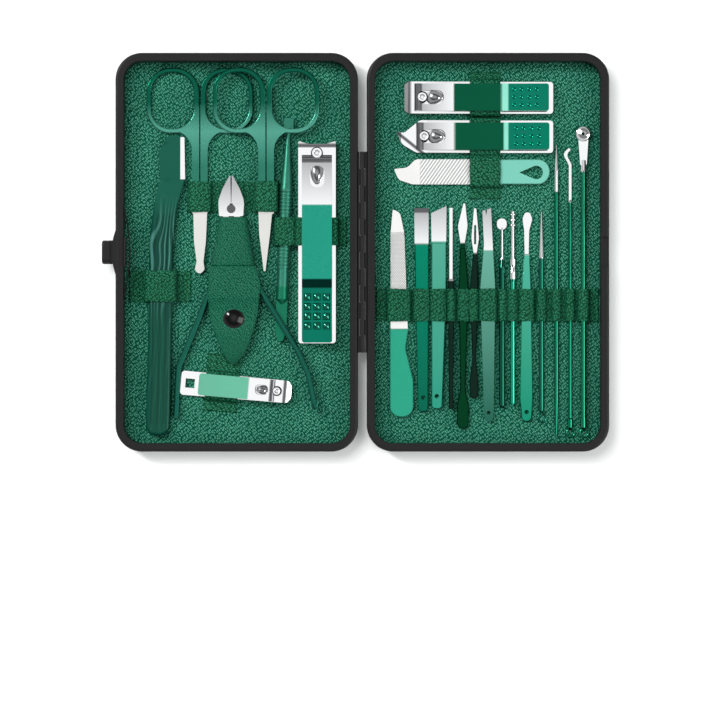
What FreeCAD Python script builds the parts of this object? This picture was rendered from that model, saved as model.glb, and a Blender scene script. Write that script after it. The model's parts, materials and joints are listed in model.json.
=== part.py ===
import FreeCAD
import Part
import math
import os

# Manicure case lying open, base on the left and lid on the right, sizes in mm.
# Plan positions are measured from the middle of each half, heights from the liner.

# Case
HALF_W = 100.0
HALF_L = 164.5
CORNER_R = 11.0
HALF_T = 12.0
RIM_W = 3.4
RIM_ROUND = 1.1
RIM_EDGE = 0.25
BEAD_H = 3.4
SKIRT_T = 1.0
SHELL_INSET = 0.3
SHELL_WALL = 2.0
SHELL_FLOOR = 1.5
SHELL_ROUND = 4.0
LINER_T = 1.5
LINER_FIT = 0.2
SEAM_W = 0.25
SEAM_D = 0.3
CLOSE_GAP = 0.3
LINER_TOP = SHELL_FLOOR + LINER_T
BEAD_Z = HALF_T - BEAD_H

# Hinge
HINGE_GAP = 3.6
HINGE_L = 82.8
KNUCKLES = 12
KNUCKLE_R = 1.0
KNUCKLE_GAP = 0.16
PIN_R = 0.55
PIN_FIT = 0.05
LEAF_T = 0.6
LEAF_DROP = 0.55
WEB_T = 0.5
AXIS_Z = HALF_T + CLOSE_GAP / 2
PITCH = HINGE_L / KNUCKLES

# Latch
LATCH_OUT = 5.6
LATCH_W = 9.8
LATCH_CAP_T = 3.3
LATCH_CAP_H = 4.0
LATCH_CAP_R = 1.9
LATCH_CAP_ROUND = 0.9
LATCH_STEM_H = 2.2
LATCH_FIT = 0.1
LATCH_FLANGE_T = 0.8
LATCH_FLANGE_OVER = 1.2
LATCH_NOSE_H = 1.4
BOSS_OUT = 1.0
BOSS_W = 11.0
BOSS_FOOT = 18.0
BOSS_WALL = 0.4
NOTCH_W = 12.8
NOTCH_D = 2.0
SPRING_L = 38.6
SPRING_BOW = 2.6
SPRING_T = 0.4
SPRING_H = 3.6
SPRING_FOOT = 2.0

# Where the halves sit, with the outline of the open case centred on the origin
HINGE_X = LATCH_OUT / 2
BASE_X = HINGE_X - HINGE_GAP / 2 - HALF_W / 2
LID_X = HINGE_X + HINGE_GAP / 2 + HALF_W / 2

# Leather
STRAP_T = 0.9
LOOP_FIT = 0.3
LOOP_SLOPE = 0.15
LOOP_R = 0.6
VALLEY = 2 * (LOOP_FIT + LOOP_SLOPE + STRAP_T) + 0.1

# Razor
RAZOR_GRIP_T = 4.6
RAZOR_HEAD_T = 2.6
RAZOR_NECK = (15.0, 30.0)
RAZOR_ROUND = 1.4
RAZOR_GROOVE_W = 0.8
RAZOR_GROOVE_D = 0.4
RAZOR_BLADE_T = 0.5
RAZOR_BLADE_Z = 1.2

# Scissors, measured from the line between the shanks and from the pivot
SCISSORS_T = 2.2
SCISSORS_LAP = 0.1
SCISSORS_GAP = 0.5
RING_W = 21.8
RING_LOW = 27.5
RING_TOP = 54.5
RING_BAR = 1.9
RING_INNER_BAR = 2.3
RING_CORNER = 10.0
RING_ROUND = 0.5
SHANK_W = 3.0
SHANK_SWING = 0.25
LAP_HALF = 6.0
SCREW_R = 1.0
SCREW_HEAD_R = 1.8
SCREW_HEAD_T = 0.4
RUN_FIT = 0.05
PIVOT_V = 22.0
NOSE_U = -15.5
BROW_U = 12.0
BROW_TILT = 3.0
BROW_TIP_V = -8.0

# Nipper
NIP_Z = 1.0
NIP_LAYER = 2.2
NIP_LAP = 0.1
NIP_BAR = 2.4
NIP_PIVOT = (-2.4, 18.0)
NIP_JAW_GAP = 0.15
NIP_TIP_GAP = 0.6
NIP_TIP_V = 31.7
NIP_JAW_V = 20.8
LEAF_SPRING_T = 0.6
LEAF_SPRING_H = 1.8

# Nipper holder and snap
SLEEVE_TOP_V = 14.4
FLAP_V = -5.5
FLAP_T = 1.0
FLAP_HIGH = 6.1
FLAP_MID = 4.0
FLAP_LOW = 1.6
SNAP = (-1.3, -27.0)
SNAP_R = 5.1
SNAP_H = 1.9
STUD_R = 3.4
STUD_POST_R = 2.0
STUD_BASE_T = 1.0

# Pusher, along its own axis from the chisel down
PUSHER_TOP = (21.4, 55.7)
PUSHER_LEAN = -2.2
PUSHER_L = 92.4
PUSHER_R = 2.7
PUSHER_NECK_R = 0.85
PUSHER_AXIS_Z = 2.0
PUSHER_BLADE_L = 4.0
PUSHER_NECK_L = 29.5
PUSHER_TAIL_L = 17.4
PUSHER_TAIL_W = 4.6
PUSHER_RIB = 1.5
PUSHER_RIBS = 7
PUSHER_RIB_D = 0.3

# Clippers
JAW_LIP = 3.0
PIN_CLEAR = 0.05
LEVER_T = 1.2
LEVER_R = 1.0
TAIL_R = 1.3
HOLLOW_R = 1.5
HOLLOW_D = 0.35
STUD_SIDE = 3.0
STUD_RISE = 0.5
STUD_EDGE = 0.35
GROOVE_W = 0.9
GROOVE_D = 0.35

# Flat and round tools in the lid
BLADE_T = 1.0
GRIP_T = 2.2
TOOL_EDGE = 0.3
EDGE_PLANER_H = 4.2
TWEEZER_T = 1.0
TWEEZER_GAP = 2.6
TWEEZER_WELD_V = -58.0
RING_WIRE = 0.4


def vec(x, y, z=0.0):
    return FreeCAD.Vector(x, y, z)


def outline(points, z=0.0):
    """Closed wire through (x, y) corners. A third number rounds that corner."""
    corners = [vec(p[0], p[1], z) for p in points]
    radii = [p[2] if len(p) > 2 else 0.0 for p in points]
    count = len(corners)
    starts, ends, mids = [], [], []
    for i, corner in enumerate(corners):
        back = (corners[i - 1] - corner).normalize()
        ahead = (corners[(i + 1) % count] - corner).normalize()
        half = back.getAngle(ahead) / 2
        if radii[i] == 0.0 or half > math.radians(89.9):
            starts.append(corner)
            ends.append(corner)
            mids.append(None)
            continue
        run = radii[i] / math.tan(half)
        inward = (back + ahead).normalize()
        starts.append(corner + back * run)
        ends.append(corner + ahead * run)
        mids.append(corner + inward * (radii[i] / math.sin(half) - radii[i]))
    edges = []
    for i in range(count):
        if mids[i] is not None:
            edges.append(Part.Arc(starts[i], mids[i], ends[i]).toShape())
        following = starts[(i + 1) % count]
        if (following - ends[i]).Length > 1e-4:
            edges.append(Part.makeLine(ends[i], following))
    return Part.Wire(edges)


def plate(points, z, thick):
    return Part.Face(outline(points, z)).extrude(vec(0, 0, thick))


def rect(width, length, radius=0.0, cx=0.0, cy=0.0):
    x, y = width / 2, length / 2
    return [(cx + a * x, cy + b * y, radius) for a, b in ((1, 1), (-1, 1), (-1, -1), (1, -1))]


def box(x0, x1, y0, y1, z0, z1):
    return Part.makeBox(x1 - x0, y1 - y0, z1 - z0, vec(x0, y0, z0))


def side_profile(points, x0, width):
    """Extrudes (y, z) corners along x."""
    shape = plate(points, 0.0, width)
    shape.rotate(vec(0, 0), vec(1, 1, 1), 120)
    shape.translate(vec(x0, 0))
    return shape


def end_profile(points, y0, length):
    """Extrudes (x, z) corners along y."""
    shape = plate(points, 0.0, length)
    shape.rotate(vec(0, 0), vec(1, 0, 0), 90)
    shape.translate(vec(0, y0 + length))
    return shape


def lathe(points, x=0.0, z=0.0):
    """Turns (radius, y) corners about an axis along y."""
    face = Part.Face(outline(points))
    shape = face.revolve(vec(0, 0), vec(0, 1), 360)
    shape.translate(vec(x, 0, z))
    return shape


def post(x, y, z, radius, height):
    return Part.makeCylinder(radius, height, vec(x, y, z))


def strip(points, width):
    """Outline of a band of even width along a path of (x, y) corners."""
    path = [vec(*p) for p in points]
    left, right = [], []
    for i, point in enumerate(path):
        first = path[max(i - 1, 0)]
        last = path[min(i + 1, len(path) - 1)]
        into = (point - first).normalize() if i > 0 else (last - point).normalize()
        out = (last - point).normalize() if i < len(path) - 1 else into
        along = (into + out).normalize()
        reach = width / 2 / math.cos(into.getAngle(out) / 2)
        side = vec(-along.y, along.x) * reach
        left.append(point + side)
        right.append(point - side)
    ring = left + right[::-1]
    inner = range(1, len(path) - 1)
    round_at = set(inner) | {len(ring) - 1 - i for i in inner}
    return [(p.x, p.y, 2 * width if i in round_at else 0.3 * width) for i, p in enumerate(ring)]


def fuse(*shapes):
    return shapes[0].multiFuse(list(shapes[1:])).removeSplitter()


def soften(shape, radius, z):
    edges = [e for e in shape.Edges if all(abs(v.Z - z) < 1e-4 for v in e.Vertexes)]
    return shape.makeFillet(radius, edges)


def bevel(shape, size, z):
    edges = [e for e in shape.Edges if all(abs(v.Z - z) < 1e-4 for v in e.Vertexes)]
    return shape.makeChamfer(size, edges)


def moved(shape, x, y, z=0.0, turn=0.0):
    copy = shape.copy()
    copy.rotate(vec(0, 0), vec(0, 0, 1), turn)
    copy.translate(vec(x, y, z))
    return copy


def on_base(shape):
    return moved(shape, BASE_X, 0.0, LINER_TOP)


def on_lid(shape):
    return moved(shape, LID_X, 0.0, LINER_TOP)


def strap_profile(start, end, loops):
    """Band section from start to end, lifted over each loop (low, high, height)."""
    top, under = [(start, STRAP_T)], [(start, 0.0)]
    for i, (low, high, height) in enumerate(loops):
        z = height + LOOP_FIT
        if i == 0 or low - loops[i - 1][1] > VALLEY:
            x = low - LOOP_FIT
            under += [(x - LOOP_SLOPE, 0.0), (x, z, LOOP_R)]
            top += [(x - LOOP_SLOPE - STRAP_T, STRAP_T), (x - STRAP_T, z + STRAP_T, LOOP_R + STRAP_T)]
        elif loops[i - 1][2] != height:
            x = (loops[i - 1][1] + low) / 2
            before = loops[i - 1][2] + LOOP_FIT
            shift = STRAP_T if before > z else -STRAP_T
            under += [(x, before), (x, z)]
            top += [(x + shift, before + STRAP_T), (x + shift, z + STRAP_T)]
        if i == len(loops) - 1 or loops[i + 1][0] - high > VALLEY:
            x = high + LOOP_FIT
            under += [(x, z, LOOP_R), (x + LOOP_SLOPE, 0.0)]
            top += [(x + STRAP_T, z + STRAP_T, LOOP_R + STRAP_T), (x + LOOP_SLOPE + STRAP_T, STRAP_T)]
    top.append((end, STRAP_T))
    under.append((end, 0.0))
    return top + under[::-1]


def case_outline(inset):
    return rect(HALF_W - 2 * inset, HALF_L - 2 * inset, CORNER_R - inset)


def half_frame(hinge_side):
    """Rim ring with its skirt, and the hinge knuckles rolled on its hinge side."""
    bead = plate(case_outline(0.0), BEAD_Z, BEAD_H)
    bead = soften(soften(bead, RIM_ROUND, HALF_T), RIM_ROUND, BEAD_Z)
    skirt = plate(case_outline(RIM_W - SKIRT_T), LINER_TOP, BEAD_Z - LINER_TOP)
    ring = fuse(bead, skirt).cut(plate(case_outline(RIM_W), 0.0, HALF_T + RIM_W))
    reach = HALF_W / 2 - RIM_W + SEAM_W
    inner_top = [e for e in ring.Edges if abs(e.BoundBox.ZMin - HALF_T) < 1e-4 and e.BoundBox.XMax < reach
                 and e.BoundBox.XMin > -reach and abs(e.CenterOfMass.y) < HALF_L / 2 - RIM_W + SEAM_W]
    ring = ring.makeChamfer(RIM_EDGE, inner_top)
    edge = hinge_side * HALF_W / 2
    seam = box(edge - RIM_W - 1, edge + RIM_W + 1, -SEAM_W / 2, SEAM_W / 2, HALF_T - SEAM_D, HALF_T + 1)
    ring = ring.cut(seam)
    leaf_x = sorted((edge, edge + hinge_side * LEAF_T))
    parts = [ring, box(*leaf_x, -HINGE_L / 2, HINGE_L / 2, BEAD_Z + RIM_ROUND, AXIS_Z - LEAF_DROP)]
    axis_x = edge + hinge_side * HINGE_GAP / 2
    first = 0 if hinge_side > 0 else 1
    length = PITCH - KNUCKLE_GAP
    web_z = AXIS_Z - LEAF_DROP
    for i in range(first, KNUCKLES, 2):
        low = -HINGE_L / 2 + i * PITCH + KNUCKLE_GAP / 2
        parts.append(Part.makeCylinder(KNUCKLE_R, length, vec(axis_x, low, AXIS_Z), vec(0, 1)))
        web_x = sorted((edge, axis_x - hinge_side * (PIN_R + PIN_FIT)))
        parts.append(box(*web_x, low, low + length, web_z - WEB_T / 2, web_z + WEB_T / 2))
    bore = Part.makeCylinder(PIN_R + PIN_FIT, HINGE_L, vec(axis_x, -HINGE_L / 2, AXIS_Z), vec(0, 1))
    return fuse(*parts).cut(bore)


def half_shell():
    shell = soften(plate(case_outline(SHELL_INSET), 0.0, BEAD_Z), SHELL_ROUND, 0.0)
    return shell.cut(plate(case_outline(SHELL_INSET + SHELL_WALL), SHELL_FLOOR, HALF_T))


def half_liner():
    return plate(case_outline(SHELL_INSET + SHELL_WALL + LINER_FIT), SHELL_FLOOR, LINER_T)


def case_nodes():
    edge = -HALF_W / 2
    mid_z = BEAD_Z + BEAD_H / 2
    upper = [(edge + RIM_ROUND, BOSS_FOOT / 2), (edge, BOSS_FOOT / 2), (edge - BOSS_OUT, BOSS_W / 2, BOSS_OUT)]
    boss = upper + [(x, -y, *r) for x, y, *r in upper[::-1]]
    boss = plate(boss, mid_z - LATCH_STEM_H / 2 - BOSS_WALL, LATCH_STEM_H + 2 * BOSS_WALL)
    hole_w, hole_h = LATCH_W / 2 + LATCH_FIT, LATCH_STEM_H / 2 + LATCH_FIT
    hole = box(edge - 2 * BOSS_OUT, edge + RIM_W + 1, -hole_w, hole_w, mid_z - hole_h, mid_z + hole_h)
    base_frame = fuse(half_frame(1), boss).cut(hole)
    notch = box(-edge - RIM_W - 1, -edge + 1, -NOTCH_W / 2, NOTCH_W / 2, HALF_T - NOTCH_D, HALF_T + 1)
    lid_frame = half_frame(-1).cut(notch)

    stem_end = edge + RIM_W + LATCH_FIT
    outer = edge - LATCH_OUT
    cap = side_profile(rect(LATCH_W, LATCH_CAP_H, LATCH_CAP_R, 0.0, mid_z), outer, LATCH_CAP_T)
    face_edges = [e for e in cap.Edges if abs(e.BoundBox.XMax - outer) < 1e-4]
    cap = cap.makeFillet(LATCH_CAP_ROUND, face_edges)
    stem = box(outer + LATCH_CAP_T, stem_end, -LATCH_W / 2, LATCH_W / 2,
               mid_z - LATCH_STEM_H / 2, mid_z + LATCH_STEM_H / 2)
    flange_w = LATCH_W / 2 + LATCH_FLANGE_OVER
    flange = box(stem_end, stem_end + LATCH_FLANGE_T, -flange_w, flange_w,
                 mid_z - LATCH_STEM_H, HALF_T + LATCH_NOSE_H)
    button = fuse(cap, stem, flange)

    ends, peak = edge + RIM_W, edge + RIM_W + SPRING_BOW
    half = SPRING_L / 2
    foot = half - SPRING_FOOT
    outer_arc = Part.Arc(vec(ends, half), vec(peak, 0), vec(ends, -half)).toShape()
    inner_arc = Part.Arc(vec(ends, foot), vec(peak - SPRING_T, 0), vec(ends, -foot)).toShape()
    feet = [Part.makeLine(vec(ends, side * foot), vec(ends, side * half)) for side in (-1, 1)]
    spring = Part.Face(Part.Wire([outer_arc, feet[0], inner_arc, feet[1]])).extrude(vec(0, 0, SPRING_H))
    spring.translate(vec(0, 0, mid_z - SPRING_H / 2 - LATCH_FIT))

    pin = Part.makeCylinder(PIN_R, HINGE_L, vec(HINGE_X, -HINGE_L / 2, AXIS_Z), vec(0, 1))
    return {
        "base_shell": moved(half_shell(), BASE_X, 0),
        "lid_shell": moved(half_shell(), LID_X, 0),
        "base_frame": moved(base_frame, BASE_X, 0),
        "lid_frame": moved(lid_frame, LID_X, 0),
        "base_liner": moved(half_liner(), BASE_X, 0),
        "lid_liner": moved(half_liner(), LID_X, 0),
        "hinge_pin": pin,
        "latch_button": moved(button, BASE_X, 0),
        "latch_spring": moved(spring, BASE_X, 0),
    }


def razor_nodes():
    grip = plate([(-32.0, 30.5, 2), (-34.2, 21, 14), (-36.3, 6, 40), (-37.0, -42, 150), (-38.0, -75.7, 4.4),
                  (-27.9, -75.7, 4.4), (-27.2, -42, 90), (-26.4, 4, 40), (-24.6, 20, 14), (-22.0, 30.0, 1)],
                 0.0, RAZOR_GRIP_T)
    grip = soften(grip, RAZOR_ROUND, RAZOR_GRIP_T)
    low, high = RAZOR_NECK
    ramp = [(low, RAZOR_GRIP_T), (high, RAZOR_HEAD_T), (HALF_L, RAZOR_HEAD_T), (HALF_L, HALF_T), (low, HALF_T)]
    grip = grip.cut(side_profile(ramp, -HALF_W / 2, HALF_W / 2))
    head = plate([(-31.8, 27), (-32.4, 42, 3), (-28.6, 48.4, 1.5), (-23.6, 48.4), (-23.6, 30.2),
                  (-21.9, 30.2, 0.5), (-22.6, 26)], 0.0, RAZOR_HEAD_T)
    handle = fuse(grip, head)
    for shift in (-2.6, 0.0, 2.6):
        path = [(-30.0 + shift, 16), (-31.5 + shift, 2), (-32.1 + shift, -40), (-32.9 + shift, -71)]
        groove = plate(strip(path, RAZOR_GROOVE_W), RAZOR_GRIP_T - RAZOR_GROOVE_D, RAZOR_GRIP_T)
        handle = handle.cut(groove)
    for u, v in ((-29.4, 45.0), (-28.9, 30.0)):
        handle = handle.cut(post(u, v, RAZOR_HEAD_T - RAZOR_GROOVE_D, RAZOR_GROOVE_W, RAZOR_HEAD_T))
    blade = [(-25.6, 47.6), (-21.9, 48.0, 0.6), (-21.6, 30.4), (-25.6, 30.4)]
    blade = plate(blade, RAZOR_BLADE_Z, RAZOR_BLADE_T)
    handle = handle.cut(blade)
    strap = strap_profile(-44.6, -19.4, [(-37.1, -26.0, RAZOR_GRIP_T)])
    return {
        "razor_handle": on_base(handle),
        "razor_blade": on_base(blade),
        "razor_strap": on_base(end_profile(strap, -20.2, 12.6)),
    }


def scissors_half(side, z, layer, blade):
    """One ring, shank and blade about the pivot; side -1 is the left ring."""
    near = side * SCISSORS_GAP / 2
    ring_x = near + side * RING_W / 2
    ring_h = RING_TOP - RING_LOW
    ring_y = (RING_LOW + RING_TOP) / 2
    ring = plate(rect(RING_W, ring_h, RING_CORNER, ring_x, ring_y), 0.0, SCISSORS_T)
    hole_w = RING_W - RING_BAR - RING_INNER_BAR
    hole_x = near + side * (RING_INNER_BAR + hole_w / 2)
    hole = rect(hole_w, ring_h - 2 * RING_BAR, RING_CORNER - RING_BAR, hole_x, ring_y)
    hole = plate(hole, 0.0, SCISSORS_T)
    ring = ring.cut(hole)
    ring = soften(soften(ring, RING_ROUND, SCISSORS_T), RING_ROUND, 0.0)
    web = plate([(near, RING_LOW + 12), (near, RING_LOW - 7), (near + side * SHANK_W, RING_LOW - 7),
                 (near + side * (SHANK_W + 0.6), RING_LOW - 2, 8), (near + side * 9, RING_LOW + 1.0),
                 (near + side * 4, RING_LOW + 3)][::-side], 0.0, SCISSORS_T)
    web = web.cut(hole)
    shank_x = sorted((near, near + side * SHANK_W))
    shank = box(*shank_x, LAP_HALF - 1, RING_LOW, 0.0, SCISSORS_T)
    lap = plate(rect(2 * SHANK_W + SCISSORS_GAP, 2 * LAP_HALF, 1.0), z, layer)
    other = sorted((-near, -near - side * (SHANK_W + 1)))
    tool = fuse(ring, web, shank, lap, plate(blade, z, layer))
    free_z = (0.0, z) if z > 0 else (layer, SCISSORS_T)
    tool = tool.cut(box(-SHANK_W - 1, SHANK_W + 1, -LAP_HALF, LAP_HALF + SCISSORS_GAP, *free_z))
    return tool.cut(box(*other, LAP_HALF + SCISSORS_GAP, RING_TOP, 0.0, SCISSORS_T))


def scissors_pair(blade):
    layer = (SCISSORS_T - SCISSORS_LAP) / 2
    lower = scissors_half(-1, 0.0, layer, blade).cut(post(0, 0, 0, SCREW_R, SCISSORS_T))
    upper = scissors_half(1, SCISSORS_T - layer, layer, blade)
    upper = upper.cut(post(0, 0, 0, SCREW_R + RUN_FIT, SCISSORS_T))
    screw = fuse(post(0, 0, 0, SCREW_R, SCISSORS_T + RUN_FIT),
                 post(0, 0, SCISSORS_T + RUN_FIT, SCREW_HEAD_R, SCREW_HEAD_T))
    return lower, upper, screw


def scissors_nodes():
    round_tip = [(-2.7, -4), (-2.4, -17.5), (-1.3, -25.7, 3), (-2.1, -29, 1.4), (-0.1, -31.2, 1.4),
                 (2.0, -29, 1.4), (1.5, -25.7, 3), (2.5, -17.5), (3.1, -4)]
    point_tip = [(-3.2, -4), (-2.9, -14, 30), (-0.7, -32.5, 0.4), (1.6, -14, 30), (2.6, -4)]
    nose = [moved(s, NOSE_U, PIVOT_V) for s in scissors_pair(round_tip)]
    brow = [moved(s, BROW_U, PIVOT_V) for s in scissors_pair(point_tip)]
    for shape in brow:
        shape.rotate(vec(BROW_U, BROW_TIP_V), vec(1, 0, 0), BROW_TILT)
    lift = (PIVOT_V + LAP_HALF - BROW_TIP_V) * math.tan(math.radians(BROW_TILT))
    nose_h = SCISSORS_T + SCREW_HEAD_T + RUN_FIT
    half = SHANK_W + SCISSORS_GAP
    strap = strap_profile(-20.6, 17.2, [(NOSE_U - half, NOSE_U + half + SHANK_SWING, nose_h),
                                        (BROW_U - half, BROW_U + half + SHANK_SWING, nose_h + lift)])
    return {
        "nose_scissors_lower": on_base(nose[0]),
        "nose_scissors_upper": on_base(nose[1]),
        "brow_scissors_lower": on_base(brow[0]),
        "brow_scissors_upper": on_base(brow[1]),
        "scissors_strap": on_base(end_profile(strap, 16.9, 12.4)),
    }, nose[2], brow[2]


def nipper_nodes():
    px, py = NIP_PIVOT
    low, high = NIP_Z, NIP_Z + NIP_LAYER + NIP_LAP
    full = 2 * NIP_LAYER + NIP_LAP
    handles = {
        "nipper_left": [(-4.4, 16.5), (-6.0, 8), (-8.2, -5), (-11.6, -17), (-24.4, -48.0), (-25.4, -68.5)],
        "nipper_right": [(-0.4, 16.5), (1.8, 8), (4.6, -5), (9.9, -16), (24.8, -40), (29.3, -50),
                         (32.4, -64.8)],
    }
    halves = {}
    for name, side, z in (("nipper_left", 1, low), ("nipper_right", -1, high)):
        jaw = [(px + side * NIP_JAW_GAP / 2, NIP_JAW_V - 0.6), (px + side * 5.3, NIP_JAW_V - 0.6),
               (px + side * 5.1, NIP_JAW_V + 1.2, 4), (px + side * 3.6, 26.2, 10),
               (px + side * (NIP_TIP_GAP / 2 + 0.4), NIP_TIP_V, 0.3), (px + side * NIP_TIP_GAP / 2, NIP_TIP_V)]
        lap = [(px + side * 5.3, NIP_JAW_V, 0.4), (px + side * 0.6, NIP_JAW_V),
               (px + side * 0.6, NIP_JAW_V - 1.2), (px - side * 5.2, NIP_JAW_V - 1.2, 0.6),
               (px - side * 5.0, 15.0, 0.6), (px + side * 5.0, 15.0, 0.6)]
        halves[name] = fuse(plate(jaw[::side], low, full), plate(lap[::side], z, NIP_LAYER),
                            plate(strip(handles[name], NIP_BAR), z, NIP_LAYER))
    screw_z = low + full + RUN_FIT
    screw = fuse(post(px, py, low, SCREW_R, screw_z - low),
                 post(px, py, screw_z, SCREW_HEAD_R, SCREW_HEAD_T))
    halves["nipper_left"] = halves["nipper_left"].cut(post(px, py, low, SCREW_R, full))
    halves["nipper_right"] = halves["nipper_right"].cut(post(px, py, low, SCREW_R + RUN_FIT, full))
    leaf = strip([(-7.4, 4.0), (-3.0, -3.0), (3.2, -8.5)], LEAF_SPRING_T)
    leaf = plate(leaf, low + NIP_LAYER, LEAF_SPRING_H)

    def arch(v, left, right):
        high_z, t, s = FLAP_HIGH, STRAP_T, LOOP_SLOPE
        ring = [(left, 0), (left + s, high_z + t, 2.0), (right - s, high_z + t, 2.0), (right, 0),
                (right - t, 0), (right - s - t, high_z, 1.2), (left + s + t, high_z, 1.2), (left + t, 0)]
        wire = outline(ring)
        wire.rotate(vec(0, 0), vec(1, 0, 0), 90)
        wire.translate(vec(0, v))
        return wire

    sleeve = Part.makeLoft([arch(SLEEVE_TOP_V, -7.6, 4.4), arch(FLAP_V + 0.3, -11.0, 7.4)], True, True)
    tongue = plate([(-11.0, FLAP_V), (-11.8, -14, 8), (-11.4, -27, 14), (-6.6, -40, 14), (-1.9, -48.6, 3),
                    (4.4, -40, 14), (8.3, -27, 14), (9.8, -14, 8), (7.4, FLAP_V)], 0.0, 2 * FLAP_HIGH)
    bend = [(FLAP_V, FLAP_HIGH), (-18.6, FLAP_HIGH, 2), (-20.8, FLAP_MID, 1), (-33.0, FLAP_MID, 6),
            (-50.0, FLAP_LOW)]
    over = [(v, z + FLAP_T, *r) for v, z, *r in bend]
    flap = side_profile(bend[::-1] + over, -HALF_W / 4, HALF_W / 2).common(tongue)
    u, v = SNAP
    dome = (SNAP_R ** 2 + SNAP_H ** 2) / (2 * SNAP_H)
    cap = Part.makeSphere(dome, vec(u, v, FLAP_MID + FLAP_T + SNAP_H - dome))
    cap = cap.common(post(u, v, FLAP_MID + FLAP_T, SNAP_R, SNAP_H))
    stud = fuse(post(u, v, 0.0, STUD_R, STUD_BASE_T), post(u, v, 0.0, STUD_POST_R, FLAP_MID - RUN_FIT))
    nodes = {"nipper_sleeve": sleeve, "nipper_flap": flap, "snap_cap": cap, "snap_stud": stud}
    nodes.update({"nipper_spring": leaf, **halves})
    return {name: on_base(shape) for name, shape in nodes.items()}, screw


def pusher_nodes():
    def ribs(start, count):
        ring = []
        for i in range(count):
            y = start - i * PUSHER_RIB
            ring += [(PUSHER_R, y), (PUSHER_R, y - 0.6 * PUSHER_RIB)]
            ring += [(PUSHER_R - PUSHER_RIB_D, y - part * PUSHER_RIB) for part in (0.7, 0.9)]
        return ring

    root, end = -PUSHER_BLADE_L, PUSHER_BLADE_L - PUSHER_L
    grip_top, grip_end = -PUSHER_NECK_L, PUSHER_TAIL_L - PUSHER_L
    side = [(PUSHER_NECK_R, root), (PUSHER_NECK_R, 2 * root)]
    side += ribs(grip_top, PUSHER_RIBS) + ribs((grip_top + grip_end) / 2, PUSHER_RIBS)
    side += [(PUSHER_R, grip_end), (PUSHER_NECK_R / 2, grip_end - PUSHER_R)]
    rod = lathe([(0, root)] + side + [(0, grip_end - PUSHER_R)])
    rod = rod.common(box(-PUSHER_R, PUSHER_R, -PUSHER_L, 0, -PUSHER_AXIS_Z, PUSHER_R))
    chisel = plate([(-2.0, 0, 0.3), (-2.0, root, 1.5), (-0.8, root - 2.8), (0.8, root - 2.8), (2.0, root, 1.5),
                    (2.0, 0, 0.3)], -BLADE_T / 2, BLADE_T)
    tail = PUSHER_TAIL_W / 2
    spoon = plate([(-tail, grip_end), (-tail, end, 8), (-0.4 * tail, -PUSHER_L, 0.8),
                   (0.4 * tail, -PUSHER_L, 0.8), (tail, end, 8), (tail, grip_end)],
                  -PUSHER_NECK_R, 2 * PUSHER_NECK_R)
    rod = moved(fuse(rod, chisel, spoon), *PUSHER_TOP, PUSHER_AXIS_Z, PUSHER_LEAN)
    strap = strap_profile(15.0, 45.2, [(16.6, 22.9, PUSHER_AXIS_Z + PUSHER_R), (25.3, 40.8, 3.9)])
    return {"cuticle_pusher": on_base(rod), "pusher_strap": on_base(end_profile(strap, 3.0, 11.4))}


def clipper(length, width, head, lever_w, lever_end, pin_y, pin_r, bar_y, bar_r, slot, crown, jaw_t, pad):
    """Jaws, pin and lever with the head at y = 0 and the tail down, lying flat."""
    root, lip, edge_z = -0.7 * length, JAW_LIP, 2 * jaw_t
    crown_y = bar_y - bar_r - 1.0
    lower = [(-length, 0), (-lip, 0, 2.0), (0, edge_z - 0.4), (-0.6, edge_z), (-lip - 0.4, jaw_t, 1.2),
             (-length, jaw_t)]
    upper = [(-length, jaw_t), (root, jaw_t, 40), (crown_y, crown - jaw_t, 20), (-lip, crown - jaw_t, 0.8),
             (-0.6, edge_z + 0.9), (0, edge_z + 1.3), (1.0 - lip, crown, 1.6), (crown_y, crown, 20),
             (root, 2 * jaw_t, 40), (-length, 2 * jaw_t)]
    tail = width / 2
    plan = [(tail, -length, TAIL_R)] + head + [(-tail, -length, TAIL_R)]
    prism = plate(plan, 0.0, 2 * crown)
    bore = post(0, pin_y, -1, pin_r + PIN_CLEAR, 3 * crown)
    jaws = [side_profile(p, -width / 2, width).common(prism).cut(bore) for p in (lower, upper)]
    bar_z = crown + RUN_FIT + bar_r
    low, top = bar_z - 0.6 * LEVER_T, bar_z + 0.4 * LEVER_T
    bend = [(bar_y, low), (-0.5 * length, low - 0.3, 200), (-lever_end, low + 0.4)]
    arm = side_profile(bend[::-1] + [(y, z + LEVER_T, *r) for y, z, *r in bend], -lever_w / 2, lever_w)
    arm = arm.common(plate([(lever_w / 2, bar_y), (-lever_w / 2, bar_y), (-lever_w / 2, -lever_end, LEVER_R),
                            (lever_w / 2, -lever_end, LEVER_R)], 0.0, 3 * crown))
    slot_front, slot_back, slot_half = slot
    window = rect(2 * slot_half, slot_front - slot_back, 0.9 * slot_half, 0, (slot_front + slot_back) / 2)
    bar = Part.makeCylinder(bar_r, lever_w, vec(-lever_w / 2, bar_y, bar_z), vec(1, 0, 0))
    lever = fuse(arm.cut(plate(window, 0.0, 3 * crown)), bar)
    pin_top = bar_z + bar_r + 0.4
    pin = post(0, pin_y, 0, pin_r, pin_top)
    grip = Part.makeCylinder(bar_r + RUN_FIT, 2 * lever_w, vec(-lever_w, bar_y, bar_z), vec(1, 0, 0))
    lever = lever.cut(post(0, pin_y, 0, pin_r + PIN_CLEAR, pin_top + 1).cut(grip))
    pin = pin.cut(grip)
    return jaws[0], jaws[1], lever if pad is None else pad(lever), pin


def surface_z(lever, x, y):
    return lever.common(Part.makeLine(vec(x, y, 0), vec(x, y, HALF_T))).BoundBox.ZMax


def hollows(rows, columns):
    """Round hollows pressed into a lever pad."""
    def mark(lever):
        balls = [Part.makeSphere(HOLLOW_R, vec(x, y, surface_z(lever, x, y) + HOLLOW_R - HOLLOW_D))
                 for y in rows for x in columns]
        return lever.cut(Part.Compound(balls))
    return mark


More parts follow.
